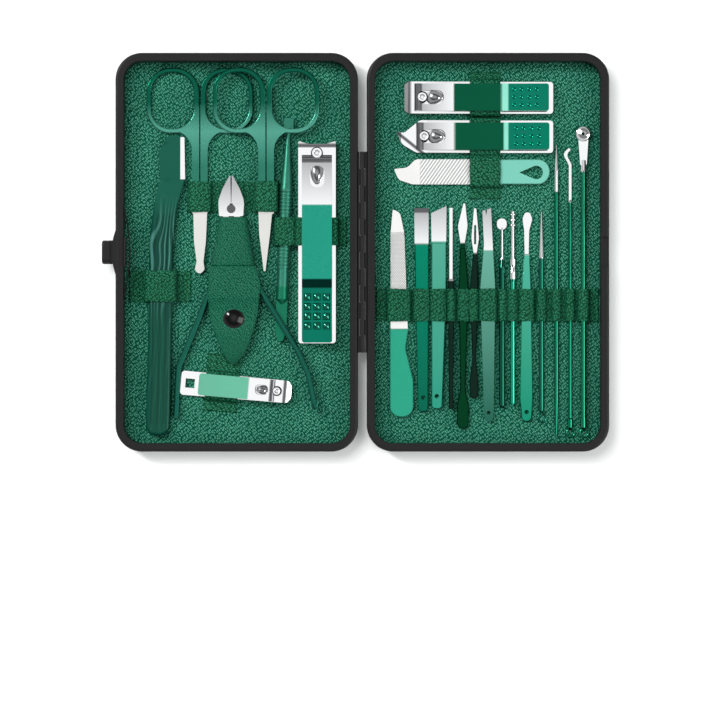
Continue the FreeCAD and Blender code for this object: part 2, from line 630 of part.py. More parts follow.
def studs(rows, columns, grooves):
    """Square studs raised on a lever pad, and grooves across the lever above them."""
    def mark(lever):
        half = STUD_SIDE / 2
        raised = []
        for y in rows:
            for x in columns:
                z = surface_z(lever, x, y)
                stud = box(x - half, x + half, y - half, y + half, z - LEVER_T / 2, z + STUD_RISE)
                raised.append(bevel(stud, STUD_EDGE, z + STUD_RISE))
        cuts = []
        for y in grooves:
            z = surface_z(lever, 0, y)
            cuts.append(box(-HALF_T, HALF_T, y - GROOVE_W / 2, y + GROOVE_W / 2, z - GROOVE_D, HALF_T))
        return fuse(lever, *raised).cut(Part.Compound(cuts))
    return mark


def clipper_nodes():
    toe_pad = studs((-65.2, -69.2, -73.2, -77.2), (-3.9, 0.0, 3.9), (-58.8, -60.6))
    toe_head = [(7.75, -0.6, 0.5), (4.0, -1.9, 9), (-4.0, -1.9, 9), (-7.75, -0.6, 0.5)]
    toe = clipper(84.3, 15.5, toe_head, 12.4, 84.0, -5.8, 2.0, -8.2, 1.6,
                  (-11.0, -20.0, 3.1), 4.9, 1.2, toe_pad)
    small_head = [(4.6, -1.6, 2.0), (2.4, 0, 2.0), (-2.4, 0, 2.0), (-4.6, -1.6, 2.0)]
    small = clipper(45.9, 10.0, small_head, 9.0, 38.4, -6.0, 1.5, -7.9, 1.2,
                    (-9.6, -15.0, 2.2), 4.0, 1.0, None)
    pad = hollows((-45.1, -48.2, -51.4, -54.5), (-3.2, 0.0, 3.2))
    straight_head = [(6.6, -1.8, 0.4), (5.4, 0), (-5.4, 0), (-6.6, -1.8, 0.4)]
    straight = clipper(61.6, 13.2, straight_head, 11.2, 59.6, -7.3, 1.8, -5.6, 1.5,
                       (-5.6, -16.2, 2.9), 4.4, 1.1, pad)
    pad = hollows((-49.5, -52.6, -55.8, -58.9), (-3.2, 0.0, 3.2))
    slant_head = [(6.7, -10.0, 2.5), (3.6, -6.0, 2), (1.4, -3.4, 2), (2.0, -0.2, 0.3), (-3.2, -2.4, 5),
                  (-6.7, -8.4, 3)]
    slant = clipper(65.1, 13.4, slant_head, 11.2, 63.3, -11.6, 1.8, -9.9, 1.5,
                    (-9.9, -20.4, 2.9), 4.4, 1.1, pad)
    hole = box(-1.9, 1.9, -44.0, -40.2, -1, HALF_T)
    small = (small[0].cut(hole), small[1].cut(hole), *small[2:])
    places = {
        "toe_clipper": (toe, 33.05, 46.8, 0.0, on_base),
        "small_clipper": (small, 22.4, -57.8, -95.1, on_base),
        "straight_clipper": (straight, -34.4, 64.1, 90.0, on_lid),
        "slant_clipper": (slant, -37.9, 48.0, 90.0, on_lid),
    }
    nodes, pins = {}, {on_base: [], on_lid: []}
    for name, (pieces, u, v, turn, put) in places.items():
        for piece, label in zip(pieces, ("lower", "upper", "lever")):
            nodes[f"{name}_{label}"] = put(moved(piece, u, v, 0.0, turn))
        pins[put].append(put(moved(pieces[3], u, v, 0.0, turn)))
    nodes["base_clipper_pins"] = Part.Compound(pins[on_base])
    nodes["lid_clipper_pins"] = Part.Compound(pins[on_lid])
    loop = strap_profile(-10.4, 13.0, [(-5.0, 5.0, 2.9)])
    loop = side_profile(loop, 0.0, 13.4)
    nodes["small_clipper_strap"] = on_base(moved(loop, -13.0, -54.7, 0.0, -5.1))
    upper = strap_profile(22.4, 74.6, [(28.2, 38.8, 2.7), (41.3, 54.7, 3.3), (57.5, 70.7, 3.3)])
    nodes["clipper_strap"] = on_lid(side_profile(upper, -7.2, 12.4))
    return nodes


def flat_tool(blade, grip, blade_t=BLADE_T, grip_t=GRIP_T):
    """Thin blade and thicker grip in one piece, with the grip's upper edge broken."""
    return fuse(plate(blade, 0.0, blade_t), bevel(plate(grip, 0.0, grip_t), TOOL_EDGE, grip_t))


def teardrop(u, v, radius, reach):
    """Cutter for a round hole drawn out to a point on its left."""
    lean = math.asin(radius / reach)
    x, y = u - radius * math.sin(lean), radius * math.cos(lean)
    point = plate([(u - reach, v), (x, v - y), (u, v), (x, v + y)], -1.0, HALF_T)
    return fuse(point, post(u, v, -1.0, radius, HALF_T))


def eyelet(u, v, radius):
    ring = Part.makeTorus(radius, RING_WIRE)
    ring.translate(vec(u, v, RING_WIRE))
    return ring


def pick(u, r, top, bottom, tip_r, taper):
    """Round shaft lying on the liner, tapered at its top over the given length."""
    side = [(tip_r, top), (r, top - taper), (r, bottom + 1), (0.5 * r, bottom)]
    return lathe([(0, top)] + side + [(0, bottom)], u, r)


def lid_tools():
    tools = {}
    foot = flat_tool([(-38.7, 34.7, 0.4), (-36.8, 30.2, 3), (-31.0, 28.3, 6), (6.0, 28.3), (6.0, 38.7),
                      (-29.8, 38.7, 3), (-33.2, 35.2, 4)],
                     [(2.0, 28.5), (25.7, 28.4, 4.9), (25.7, 38.6, 4.9), (2.0, 38.5)], 1.6, 2.4)
    tools["foot_file"] = foot.cut(teardrop(20.2, 33.2, 2.8, 7.0))
    tools["nail_file"] = flat_tool(
        [(-40.1, -34), (-40.1, 8, 20), (-39.2, 18.0, 0.4), (-36.2, 16.6, 2.5), (-34.4, 8, 10), (-32.9, -34)],
        [(-40.4, -31.5, 0.6), (-40.4, -68, 4.4), (-30.7, -68, 4.4), (-30.7, -53, 12), (-34.0, -39.5, 8),
         (-32.7, -31.5, 0.6)])
    square = flat_tool([(-30.3, 18.5), (-30.1, 0), (-24.4, 0), (-24.3, 18.5)],
                       [(-30.1, 3.7), (-29.8, -19), (-28.8, -65.8, 1.5), (-24.6, -65.8, 1.5), (-24.4, -19),
                        (-24.4, 3.7)])
    tools["square_planer"] = square.cut(post(-26.6, -60.0, 0, 0.9, GRIP_T))
    slant = flat_tool([(-23.3, 16.4), (-23.1, 0), (-17.1, 0), (-16.9, 19.4)],
                      [(-23.1, 4.0), (-23.1, -64.6, 1.5), (-18.8, -64.6, 1.5), (-17.1, -19), (-17.1, 4.0)])
    tools["slant_planer"] = slant.cut(post(-21.0, -59.4, 0, 0.9, GRIP_T))
    grip = plate([(-16.3, -11), (-16.0, -64.6, 0.6), (-14.2, -64.6, 0.6), (-13.9, -11)], 0, EDGE_PLANER_H)
    tools["edge_planer"] = fuse(box(-15.8, -14.5, -12, 18.5, 0, EDGE_PLANER_H - TOOL_EDGE),
                                bevel(grip, TOOL_EDGE, EDGE_PLANER_H))
    tools["cuticle_knife"] = flat_tool(
        [(-11.3, 0), (-11.2, 4.5, 3), (-12.2, 11, 5), (-9.4, 22.4, 0.4), (-8.2, 11, 5), (-9.3, 4.5, 3),
         (-9.2, 0)],
        [(-11.3, 2, 1), (-11.9, -15, 20), (-11.2, -57, 20), (-12.6, -63, 3), (-12.6, -72.8, 2.3),
         (-7.8, -72.8, 2.3), (-7.8, -63, 3), (-9.2, -57, 20), (-7.9, -15, 20), (-9.2, 2, 1)])
    cleaner = flat_tool([(-5.6, -2), (-5.7, 0), (-6.6, 6, 5), (-5.5, 18.4, 0.4), (-4.6, 18.4, 0.4), (-3.5, 6, 5),
                         (-4.4, 0), (-4.5, -2)],
                        [(-5.8, 0), (-7.0, -11, 8), (-7.2, -19, 20), (-6.2, -44, 20), (-7.4, -53, 3),
                         (-7.4, -60.4, 1.8), (-3.8, -60.4, 1.8), (-3.8, -53, 3), (-4.8, -44, 20), (-3.8, -19, 20),
                         (-3.9, -11, 8), (-4.3, 0)])
    tools["nail_cleaner"] = cleaner.cut(plate(rect(0.9, 8.0, 0.4, -5.05, 7.5), 0.0, GRIP_T))
    arm = [(-2.2, 17.2), (-1.5, 3, 10), (-3.0, -15, 20), (-1.4, -66, 1), (-1.0, -69.9, 1.5),
           (2.2, -69.9, 1.5), (2.6, -66, 1), (3.1, -15, 20), (2.1, 3, 10), (1.4, 18.4), (-0.2, 17.8),
           (-0.6, 15.4), (-1.0, 17.6)]
    prism = plate(arm, -1.0, HALF_T).cut(post(0.5, -66.3, -1, 0.8, HALF_T))
    t, gap = TWEEZER_T, TWEEZER_GAP
    tools["tweezers_lower"] = side_profile([(-70, 0), (19, 0), (19, t), (-70, t)], -4, 8).common(prism)
    rise = [(-70, t), (TWEEZER_WELD_V, t, 30), (5, t + gap, 30), (19, t + gap - 0.2)]
    rise += [(v, z + t, *r) for v, z, *r in rise[::-1]]
    tools["tweezers_upper"] = side_profile(rise, -4, 8).common(prism)
    tools["ear_spade"] = fuse(pick(6.1, 0.55, 10.5, -4.0, 0.5, 1.0), pick(6.1, 1.25, -2.0, -64.3, 0.6, 4.0),
                              plate(rect(4.0, 4.6, 1.9, 6.0, 11.9), 0.1, 0.9))
    turns = [Part.makeTorus(1.0, RING_WIRE, vec(10.5, v, 1.4), vec(0, 1, 0)) for v in (11.4, 13.6, 15.8)]
    core = lathe([(0, 17.1), (0.75, 17.1), (0.75, -2.7), (0, -2.7)], 10.5, 1.4)
    tube = lathe([(0, -2.0), (1.4, -2.7), (1.4, -5), (1.1, -6), (1.4, -8), (1.4, -10.9), (1.05, -12),
                  (1.05, -62.3), (0.6, -63.3), (0, -63.3)], 10.5, 1.4)
    tools["ear_spiral"] = fuse(core, tube, *turns)
    scoop = flat_tool([(15.5, -3), (15.3, 9, 4), (14.6, 14, 2), (15.6, 16.7, 1.2), (17.6, 16.7, 1.2),
                       (18.6, 14, 2), (17.3, 9, 4), (17.1, -3)],
                      [(15.1, -0.6, 0.5), (14.2, -15, 20), (13.5, -60, 20), (14.2, -69.9, 2), (18.2, -69.9, 2),
                       (18.8, -60, 20), (18.1, -15, 20), (17.5, -0.6, 0.5)])
    tools["ear_scoop"] = scoop.cut(post(16.2, -66.0, 0, 0.9, GRIP_T))
    needle = pick(22.4, 1.1, 17.1, -66.4, 0.15, 19.0)
    tools["ring_needle"] = fuse(needle, eyelet(22.6, -68.3, 1.8))
    tools["long_needle"] = lathe([(0, 44.5), (0.2, 44.5), (0.9, 34), (0.9, 25), (1.0, 24.6), (1.0, -60),
                                  (0.4, -75.7), (0, -75.7)], 28.6, 1.0)
    bent = [pick(34.3, 0.85, 22.0, -69.5, 0.6, 1.0), eyelet(34.5, -74.6, 1.7),
            lathe([(0, -69.0), (1.15, -69.0), (1.15, -72.4), (0.5, -73.4), (0, -73.4)], 34.3, 1.15)]
    bent.append(plate(strip([(34.3, 20.0), (34.3, 36.5), (31.9, 41.0), (34.2, 43.0)], 1.1), 0.3, 1.0))
    tools["bent_needle"] = fuse(*bent)
    disc = soften(post(39.6, 49.2, 0.6, 3.2, 2.4), 0.8, 3.0).cut(Part.makeSphere(5.0, vec(39.6, 49.2, 7.4)))
    neck = plate([(37.6, 47.5, 1), (38.4, 36, 1), (41.1, 36, 1), (41.8, 47.5, 1)], 0.6, 1.6)
    shaft = [lathe([(0, 39), (1.2, 38.2), (1.4, 34), (1.1, 33.2), (1.1, -69), (0, -69)], 39.8, 1.4),
             lathe([(0, -68.7), (1.35, -68.7), (1.35, -72.4), (0.5, -73.2), (0, -73.2)], 39.8, 1.4),
             eyelet(40.2, -74.6, 1.8)]
    tools["ball_pick"] = fuse(disc, neck, *shaft).cut(post(39.6, 49.2, 0, 0.7, HALF_T))
    return tools


def tool_strap():
    """One sewn loop for each handle under the long band in the lid."""
    flats = [(-40.8, -32.6), (-29.8, -24.4), (-23.1, -17.1)]
    loops = [(low, high, GRIP_T) for low, high in flats] + [(-16.3, -13.9, EDGE_PLANER_H)]
    loops += [(-12.0, -7.8, GRIP_T), (-7.3, -3.7, GRIP_T), (-3.1, 3.2, 2 * TWEEZER_T + TWEEZER_GAP)]
    loops += [(4.8, 7.4, 2.5), (9.1, 11.9, 2.8), (13.7, 18.6, GRIP_T), (21.3, 23.5, GRIP_T)]
    loops += [(27.6, 29.6, 2.0), (33.4, 35.2, 1.9), (38.4, 41.2, 2.8)]
    return end_profile(strap_profile(-46.0, 46.0, loops), -28.3, 13.2)


nodes = case_nodes()
nodes.update(razor_nodes())
scissors, nose_screw, brow_screw = scissors_nodes()
nodes.update(scissors)
nipper, nipper_screw = nipper_nodes()
nodes.update(nipper)
nodes["pivot_screws"] = Part.Compound([on_base(s) for s in (nose_screw, brow_screw, nipper_screw)])
nodes.update(pusher_nodes())
nodes.update(clipper_nodes())
nodes.update({name: on_lid(shape) for name, shape in lid_tools().items()})
nodes["tool_strap"] = on_lid(tool_strap())

os.makedirs("parts", exist_ok=True)
for name, shape in nodes.items():
    shape.exportStep(f"parts/{name}.step")
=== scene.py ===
"""Looks of a manicure case lying open with its tools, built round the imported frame."""

from __future__ import annotations

import json
import logging
import math
from collections import Counter
from dataclasses import dataclass
from enum import Enum
from itertools import product
from typing import Callable, Sequence

import bpy
import numpy as np
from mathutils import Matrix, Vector, noise

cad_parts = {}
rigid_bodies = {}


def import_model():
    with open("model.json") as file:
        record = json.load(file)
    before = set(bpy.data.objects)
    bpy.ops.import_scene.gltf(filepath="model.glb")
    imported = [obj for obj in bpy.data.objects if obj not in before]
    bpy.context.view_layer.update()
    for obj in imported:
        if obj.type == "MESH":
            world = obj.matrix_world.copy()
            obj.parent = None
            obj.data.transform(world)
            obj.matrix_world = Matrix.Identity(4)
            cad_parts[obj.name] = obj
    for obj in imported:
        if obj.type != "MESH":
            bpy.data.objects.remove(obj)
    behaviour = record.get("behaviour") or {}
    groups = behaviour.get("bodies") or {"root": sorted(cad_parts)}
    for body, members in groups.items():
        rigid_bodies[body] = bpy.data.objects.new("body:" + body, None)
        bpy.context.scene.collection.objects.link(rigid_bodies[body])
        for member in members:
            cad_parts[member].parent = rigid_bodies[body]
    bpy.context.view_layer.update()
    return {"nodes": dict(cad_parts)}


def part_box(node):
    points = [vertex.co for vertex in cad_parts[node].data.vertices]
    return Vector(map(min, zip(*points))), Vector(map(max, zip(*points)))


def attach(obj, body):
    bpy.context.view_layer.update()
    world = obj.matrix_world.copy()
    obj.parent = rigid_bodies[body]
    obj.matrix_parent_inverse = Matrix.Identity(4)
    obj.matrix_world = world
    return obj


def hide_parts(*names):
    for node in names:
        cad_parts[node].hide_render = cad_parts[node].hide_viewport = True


LOG = logging.getLogger("manicure_case")
MM = 0.001
FAR = 1000.0
TOUCH = 0.02
TINY = 1e-9
SHORT_OF_END = 1e-6
BEND_STEPS = 8
BEND_RUN = 0.3
BEND_SHARE = 0.48
LEAST_STEPS = 8
EDGE_SHARE = 0.3
SHEET = "flat_sheet"
HIDE_CELLS = 1040.0
TOE_STUD_ROWS = (-65.2, -69.2, -73.2, -77.2)
TOE_STUD_COLUMNS = (-3.9, 0.0, 3.9)
SMALL_CLIPPER_TILT = -5.1

Colour = tuple[float, float, float, float]
Screen = tuple[int, int, int]
Point = tuple[float, float]
Place = tuple[float, float, float]
Sockets = tuple[bpy.types.NodeSocket, bpy.types.NodeSocket]


def screen_colour(red: float, green: float, blue: float) -> Colour:
    """Turns 8-bit screen values into a linear colour.

    Args:
        red: Red from 0 to 255.
        green: Green from 0 to 255.
        blue: Blue from 0 to 255.

    Returns:
        The linear colour, with full alpha.
    """
    parts = [value / 255.0 for value in (red, green, blue)]
    linear = [c / 12.92 if c <= 0.04045 else ((c + 0.055) / 1.055) ** 2.4 for c in parts]
    return (linear[0], linear[1], linear[2], 1.0)


def grey(level: float) -> Colour:
    """Returns a linear grey with full alpha."""
    return (level, level, level, 1.0)


class Wiring:
    """Adds and joins the nodes of one node tree."""

    def __init__(self, tree: bpy.types.NodeTree) -> None:
        """Keeps the tree that the nodes go into."""
        self.tree = tree

    def add(self, kind: str, inputs: dict | None = None, **settings: object) -> bpy.types.Node:
        """Adds one node.

        Args:
            kind: Blender's name of the node type.
            inputs: Socket name or number to a constant or to another node's output.
            settings: Properties of the node itself.

        Returns:
            The new node.
        """
        node = self.tree.nodes.new(kind)
        for name, value in settings.items():
            setattr(node, name, value)
        for socket, source in (inputs or {}).items():
            self.feed(node, socket, source)
        return node

    def feed(self, node: bpy.types.Node, socket: str | int, source: object) -> None:
        """Links a socket from another node's output, or sets it to a constant.

        Args:
            node: The node that takes the value.
            socket: Name or number of its input.
            source: An output socket, or a constant.
        """
        if isinstance(source, bpy.types.NodeSocket):
            self.tree.links.new(source, node.inputs[socket])
        else:
            node.inputs[socket].default_value = source

    def math(self, operation: str, first: object, second: object = 0.0) -> bpy.types.NodeSocket:
        """Works out one number from two.

        Args:
            operation: Blender's name of the operation.
            first: First value or socket.
            second: Second value or socket.

        Returns:
            The result's socket.
        """
        return self.add("ShaderNodeMath", {0: first, 1: second}, operation=operation).outputs[0]

    def span(self, value: object, low: float, high: float, to_low: float = 0.0,
             to_high: float = 1.0) -> bpy.types.NodeSocket:
        """Maps a span of values smoothly onto another.

        Args:
            value: The value or socket to map.
            low: Start of the span.
            high: End of the span.
            to_low: What the start becomes.
            to_high: What the end becomes.

        Returns:
            The mapped value's socket.
        """
        node = self.add("ShaderNodeMapRange", {"Value": value, "From Min": low, "From Max": high,
                                               "To Min": to_low, "To Max": to_high},
                        interpolation_type="SMOOTHSTEP")
        return node.outputs[0]

    def blend(self, factor: object, first: object, second: object) -> bpy.types.NodeSocket:
        """Mixes two colours.

        Args:
            factor: Share of the second colour.
            first: First colour or socket.
            second: Second colour or socket.

        Returns:
            The mixed colour's socket.
        """
        node = self.add("ShaderNodeMix", data_type="RGBA")
        self.feed(node, 0, factor)
        self.feed(node, 6, first)
        self.feed(node, 7, second)
        return node.outputs[2]

    def ramp(self, factor: object, stops: Sequence[tuple[float, Colour]]) -> bpy.types.NodeSocket:
        """Looks a colour up along a ramp.

        Args:
            factor: Place on the ramp, from 0 to 1.
            stops: Place and colour of each stop, in order.

        Returns:
            The colour's socket.
        """
        node = self.add("ShaderNodeValToRGB", {0: factor})
        elements = node.color_ramp.elements
        while len(elements) < len(stops):
            elements.new(1.0)
        for element, (place, colour) in zip(elements, stops):
            element.position = place
            element.color = colour
        return node.outputs[0]


class Effect(Enum):
    """Surface effects that several materials share, each a node group."""

    HIDE = "hide_grain"
    COAT = "coat_grain"
    HANDLING = "handling_marks"
    HATCH = "cut_hatch"
    FLOW = "flowing_grooves"

    def group(self) -> bpy.types.NodeTree:
        """Returns the effect's node group, built the first time it is asked for."""
        found = bpy.data.node_groups.get(self.value)
        if found:
            return found
        tree = bpy.data.node_groups.new(self.value, "ShaderNodeTree")
        wiring = Wiring(tree)
        sockets, build = {
            Effect.HIDE: ((("Cells", HIDE_CELLS),), _build_hide),
            Effect.COAT: ((("Speckle", 9000.0), ("Streak", 3000.0)), _build_coat),
            Effect.HANDLING: ((("Size", 90.0),), _build_handling),
            Effect.HATCH: ((("Pitch", 0.0009), ("Lean", 0.9), ("Second", 1.0)), _build_hatch),
            Effect.FLOW: ((("Pitch", 0.0021), ("Sway", 0.012)), _build_flow),
        }[self]
        tree.interface.new_socket("Vector", in_out="INPUT", socket_type="NodeSocketVector")
        for name, value in sockets:
            socket = tree.interface.new_socket(name, in_out="INPUT", socket_type="NodeSocketFloat")
            socket.default_value = value
        for name in ("Height", "Tone"):
            tree.interface.new_socket(name, in_out="OUTPUT", socket_type="NodeSocketFloat")
        entry = wiring.add("NodeGroupInput")
        height, tone = build(wiring, entry.outputs)
        wiring.add("NodeGroupOutput", {"Height": height, "Tone": tone})
        return tree

    def place(self, wiring: Wiring, vector: bpy.types.NodeSocket, **values: float) -> Sockets:
        """Places the effect in a material.

        Args:
            wiring: The material's node tree.
            vector: Coordinates that the effect follows.
            values: The effect's own inputs, by name.

        Returns:
            The sockets of the effect's height and tone, both from 0 to 1.
        """
        node = wiring.add("ShaderNodeGroup", node_tree=self.group())
        wiring.feed(node, "Vector", vector)
        for name, value in values.items():
            wiring.feed(node, name, value)
        return node.outputs["Height"], node.outputs["Tone"]


def _build_hide(wiring: Wiring, given: bpy.types.NodeOutputs) -> Sockets:
    """Wires the long slanted pebbles of a pressed hide.

    Args:
        wiring: The group's node tree.
        given: The group's inputs.

    Returns:
        Sockets of the height and of the tone, which is 1 on the tops of the pebbles, where the colour gets a
        painted highlight.
    """
    flat = given["Vector"]
    stir = wiring.add("ShaderNodeTexNoise", {"Vector": flat, "Scale": 500.0, "Detail": 1.0})
    shift = wiring.add("ShaderNodeVectorMath", {0: stir.outputs["Color"], 1: (0.5, 0.5, 0.5)},
                       operation="SUBTRACT")
    small = wiring.add("ShaderNodeVectorMath", {0: shift.outputs[0], "Scale": 0.0005}, operation="SCALE")
    moved = wiring.add("ShaderNodeVectorMath", {0: flat, 1: small.outputs[0]}, operation="ADD")
    slanted = wiring.add("ShaderNodeMapping", {"Vector": moved.outputs[0], "Rotation": (0.0, 0.0, -0.9),
                                               "Scale": (1.35, 0.8, 1.0)}, vector_type="TEXTURE")
    cell = wiring.add("ShaderNodeTexVoronoi", {"Vector": slanted.outputs[0], "Scale": given["Cells"],
                                               "Smoothness": 0.2, "Randomness": 0.55},
                      feature="SMOOTH_F1", voronoi_dimensions="2D")
    dome = wiring.span(cell.outputs["Distance"], 0.0, 0.6, 1.0, 0.0)
    pores = wiring.add("ShaderNodeTexNoise", {"Vector": flat, "Scale": 2600.0, "Detail": 3.0})
    pebbles = wiring.math("MULTIPLY", dome, 0.85)
    height = wiring.math("ADD", pebbles, wiring.math("MULTIPLY", pores.outputs["Fac"], 0.2))
    return height, wiring.span(height, 0.1, 0.85)


def _build_coat(wiring: Wiring, given: bpy.types.NodeOutputs) -> Sockets:
    """Wires the fine speckle and the drawn streaks of a metallic coat.

    Args:
        wiring: The group's node tree.
        given: The group's inputs.

    Returns:
        Sockets of the streak height and of the speckle tone.
    """
    drawn = wiring.add("ShaderNodeMapping", {"Vector": given["Vector"], "Scale": (0.03, 1.0, 1.0)})
    streak = wiring.add("ShaderNodeTexNoise", {"Vector": drawn.outputs[0], "Scale": given["Streak"],
                                               "Detail": 2.0})
    speckle = wiring.add("ShaderNodeTexNoise", {"Vector": given["Vector"], "Scale": given["Speckle"],
                                                "Detail": 1.0})
    return streak.outputs["Fac"], wiring.span(speckle.outputs["Fac"], 0.3, 0.7)


def _build_handling(wiring: Wiring, given: bpy.types.NodeOutputs) -> Sockets:
    """Wires the soft smears that handling leaves on a hard surface.

    Args:
        wiring: The group's node tree.
        given: The group's inputs.

    Returns:
        Sockets of a slow waviness and of the smear tone.
    """
    smear = wiring.add("ShaderNodeTexNoise", {"Vector": given["Vector"], "Scale": given["Size"],
                                              "Detail": 4.0, "Roughness": 0.6})
    wave = wiring.add("ShaderNodeTexNoise", {"Vector": given["Vector"], "Scale": 75.0, "Detail": 0.0})
    return wave.outputs["Fac"], wiring.span(smear.outputs["Fac"], 0.35, 0.68)


def _build_hatch(wiring: Wiring, given: bpy.types.NodeOutputs) -> Sockets:
    """Wires one or two slanted sets of cut lines, as on a file.

    Args:
        wiring: The group's node tree.
        given: The group's inputs.

    Returns:
        Sockets of the ridge height and of the groove tone.
    """
    split = wiring.add("ShaderNodeSeparateXYZ", {0: given["Vector"]}).outputs
    turn = wiring.math("DIVIDE", 2 * math.pi, given["Pitch"])
    leaning = wiring.math("MULTIPLY", split["Y"], given["Lean"])
    cuts = []
    for way in ("ADD", "SUBTRACT"):
        moved = wiring.math(way, split["X"], leaning)
        cuts.append(wiring.math("SINE", wiring.math("MULTIPLY", moved, turn)))
    first, other = cuts
    second = wiring.math("ADD", wiring.math("MULTIPLY", other, given["Second"]),
                         wiring.math("SUBTRACT", 1.0, given["Second"]))
    ridge = wiring.span(wiring.math("MINIMUM", first, second), -0.7, 0.5)
    return ridge, ridge


def _build_flow(wiring: Wiring, given: bpy.types.NodeOutputs) -> Sockets:
    """Wires long grooves that sway together, as on a moulded grip.

    Args:
        wiring: The group's node tree.
        given: The group's inputs.

    Returns:
        Sockets of the ridge height and of the groove tone.
    """
    stretched = wiring.add("ShaderNodeMapping", {"Vector": given["Vector"], "Scale": (0.45, 0.16, 0.0)})
    sway = wiring.add("ShaderNodeTexNoise", {"Vector": stretched.outputs[0], "Scale": 190.0, "Detail": 1.0})
    split = wiring.add("ShaderNodeSeparateXYZ", {0: given["Vector"]}).outputs
    leaning = wiring.math("SUBTRACT", split["X"], wiring.math("MULTIPLY", split["Y"], 0.07))
    moved = wiring.math("ADD", leaning, wiring.math("MULTIPLY", sway.outputs["Fac"], given["Sway"]))
    turn = wiring.math("DIVIDE", 2 * math.pi, given["Pitch"])
    wave = wiring.math("SINE", wiring.math("MULTIPLY", moved, turn))
    ridge = wiring.span(wave, 0.95, 0.2)
    return ridge, ridge


@dataclass(frozen=True)
class HideFinish:
    """Pressed green leather, with a painted highlight on the tops of its pebbles and painted shade in its
    creases.
    """

    name: str
    # Colour of the painted highlight on the pebbles' tops, then of the painted shade in the creases.
    pebble_highlight: Screen
    crease_shade: Screen
    roughness: float = 0.42
    cells: float = HIDE_CELLS
    depth_mm: float = 0.45
    gloss: float = 0.07
    mottle: float = 60.0
    mottled: float = 0.75
    crease_rough: float = 0.2

    def material(self) -> bpy.types.Material:
        """Returns the leather's material."""
        made, wiring, surface, place = new_material(self.name)
        flat = wiring.add("ShaderNodeAttribute", attribute_name=SHEET).outputs["Vector"]
        height, tone = Effect.HIDE.place(wiring, flat, Cells=self.cells)
        mottle = wiring.add("ShaderNodeTexNoise", {"Vector": place, "Scale": self.mottle, "Detail": 3.0})
        # Painted light: the pebbles' tone blends from the painted shade of the creases to the painted
        # highlight of the tops, dimmed at random by the mottle.
        dark = screen_colour(*self.crease_shade)
        light = screen_colour(*self.pebble_highlight)
        shade = wiring.span(mottle.outputs["Fac"], 0.3, 0.7, 1.0, self.mottled)
        wiring.feed(surface, "Base Color", wiring.blend(wiring.math("MULTIPLY", tone, shade), dark, light))
        dull = self.roughness + self.crease_rough
        wiring.feed(surface, "Roughness", wiring.span(height, 0.2, 0.9, dull, self.roughness))
        bump = wiring.add("ShaderNodeBump", {"Strength": 1.0, "Distance": self.depth_mm * MM,
                                             "Height": height})
        wiring.feed(surface, "Normal", bump.outputs[0])
        surface.inputs["Specular IOR Level"].default_value = self.gloss
        return made


@dataclass(frozen=True)
class Finish:
    """One hard surface: its colour on screen, roughness, metalness and depth of pattern."""

    colour: Screen
    roughness: float
    metallic: float = 1.0
    cut: float = 0.0

    def colour_stop(self) -> Colour:
        """Returns the finish's linear colour."""
        return screen_colour(*self.colour)

    def surface_stop(self) -> Colour:
        """Returns roughness, metalness and pattern depth packed as one colour."""
        return (self.roughness, self.metallic, self.cut, 1.0)


@dataclass(frozen=True)
class Zone:
    """A finish that runs along a piece up to a place, in mm from the middle of its half.

    It may start as another finish and fade into its own towards that place.
    """

    until: float
    finish: Finish
    fades_from: Finish | None = None

    def ends(self) -> tuple[Finish, Finish]:
        """Returns the finishes at the zone's start and end."""
        return (self.fades_from or self.finish, self.finish)


class Pattern(Enum):
    """What the cut zones of a hard piece carry."""

    BRUSHED = 0
    SPECKLED = 1
    CROSS_CUT = 2
    SLANTED = 3
    GROOVED = 4


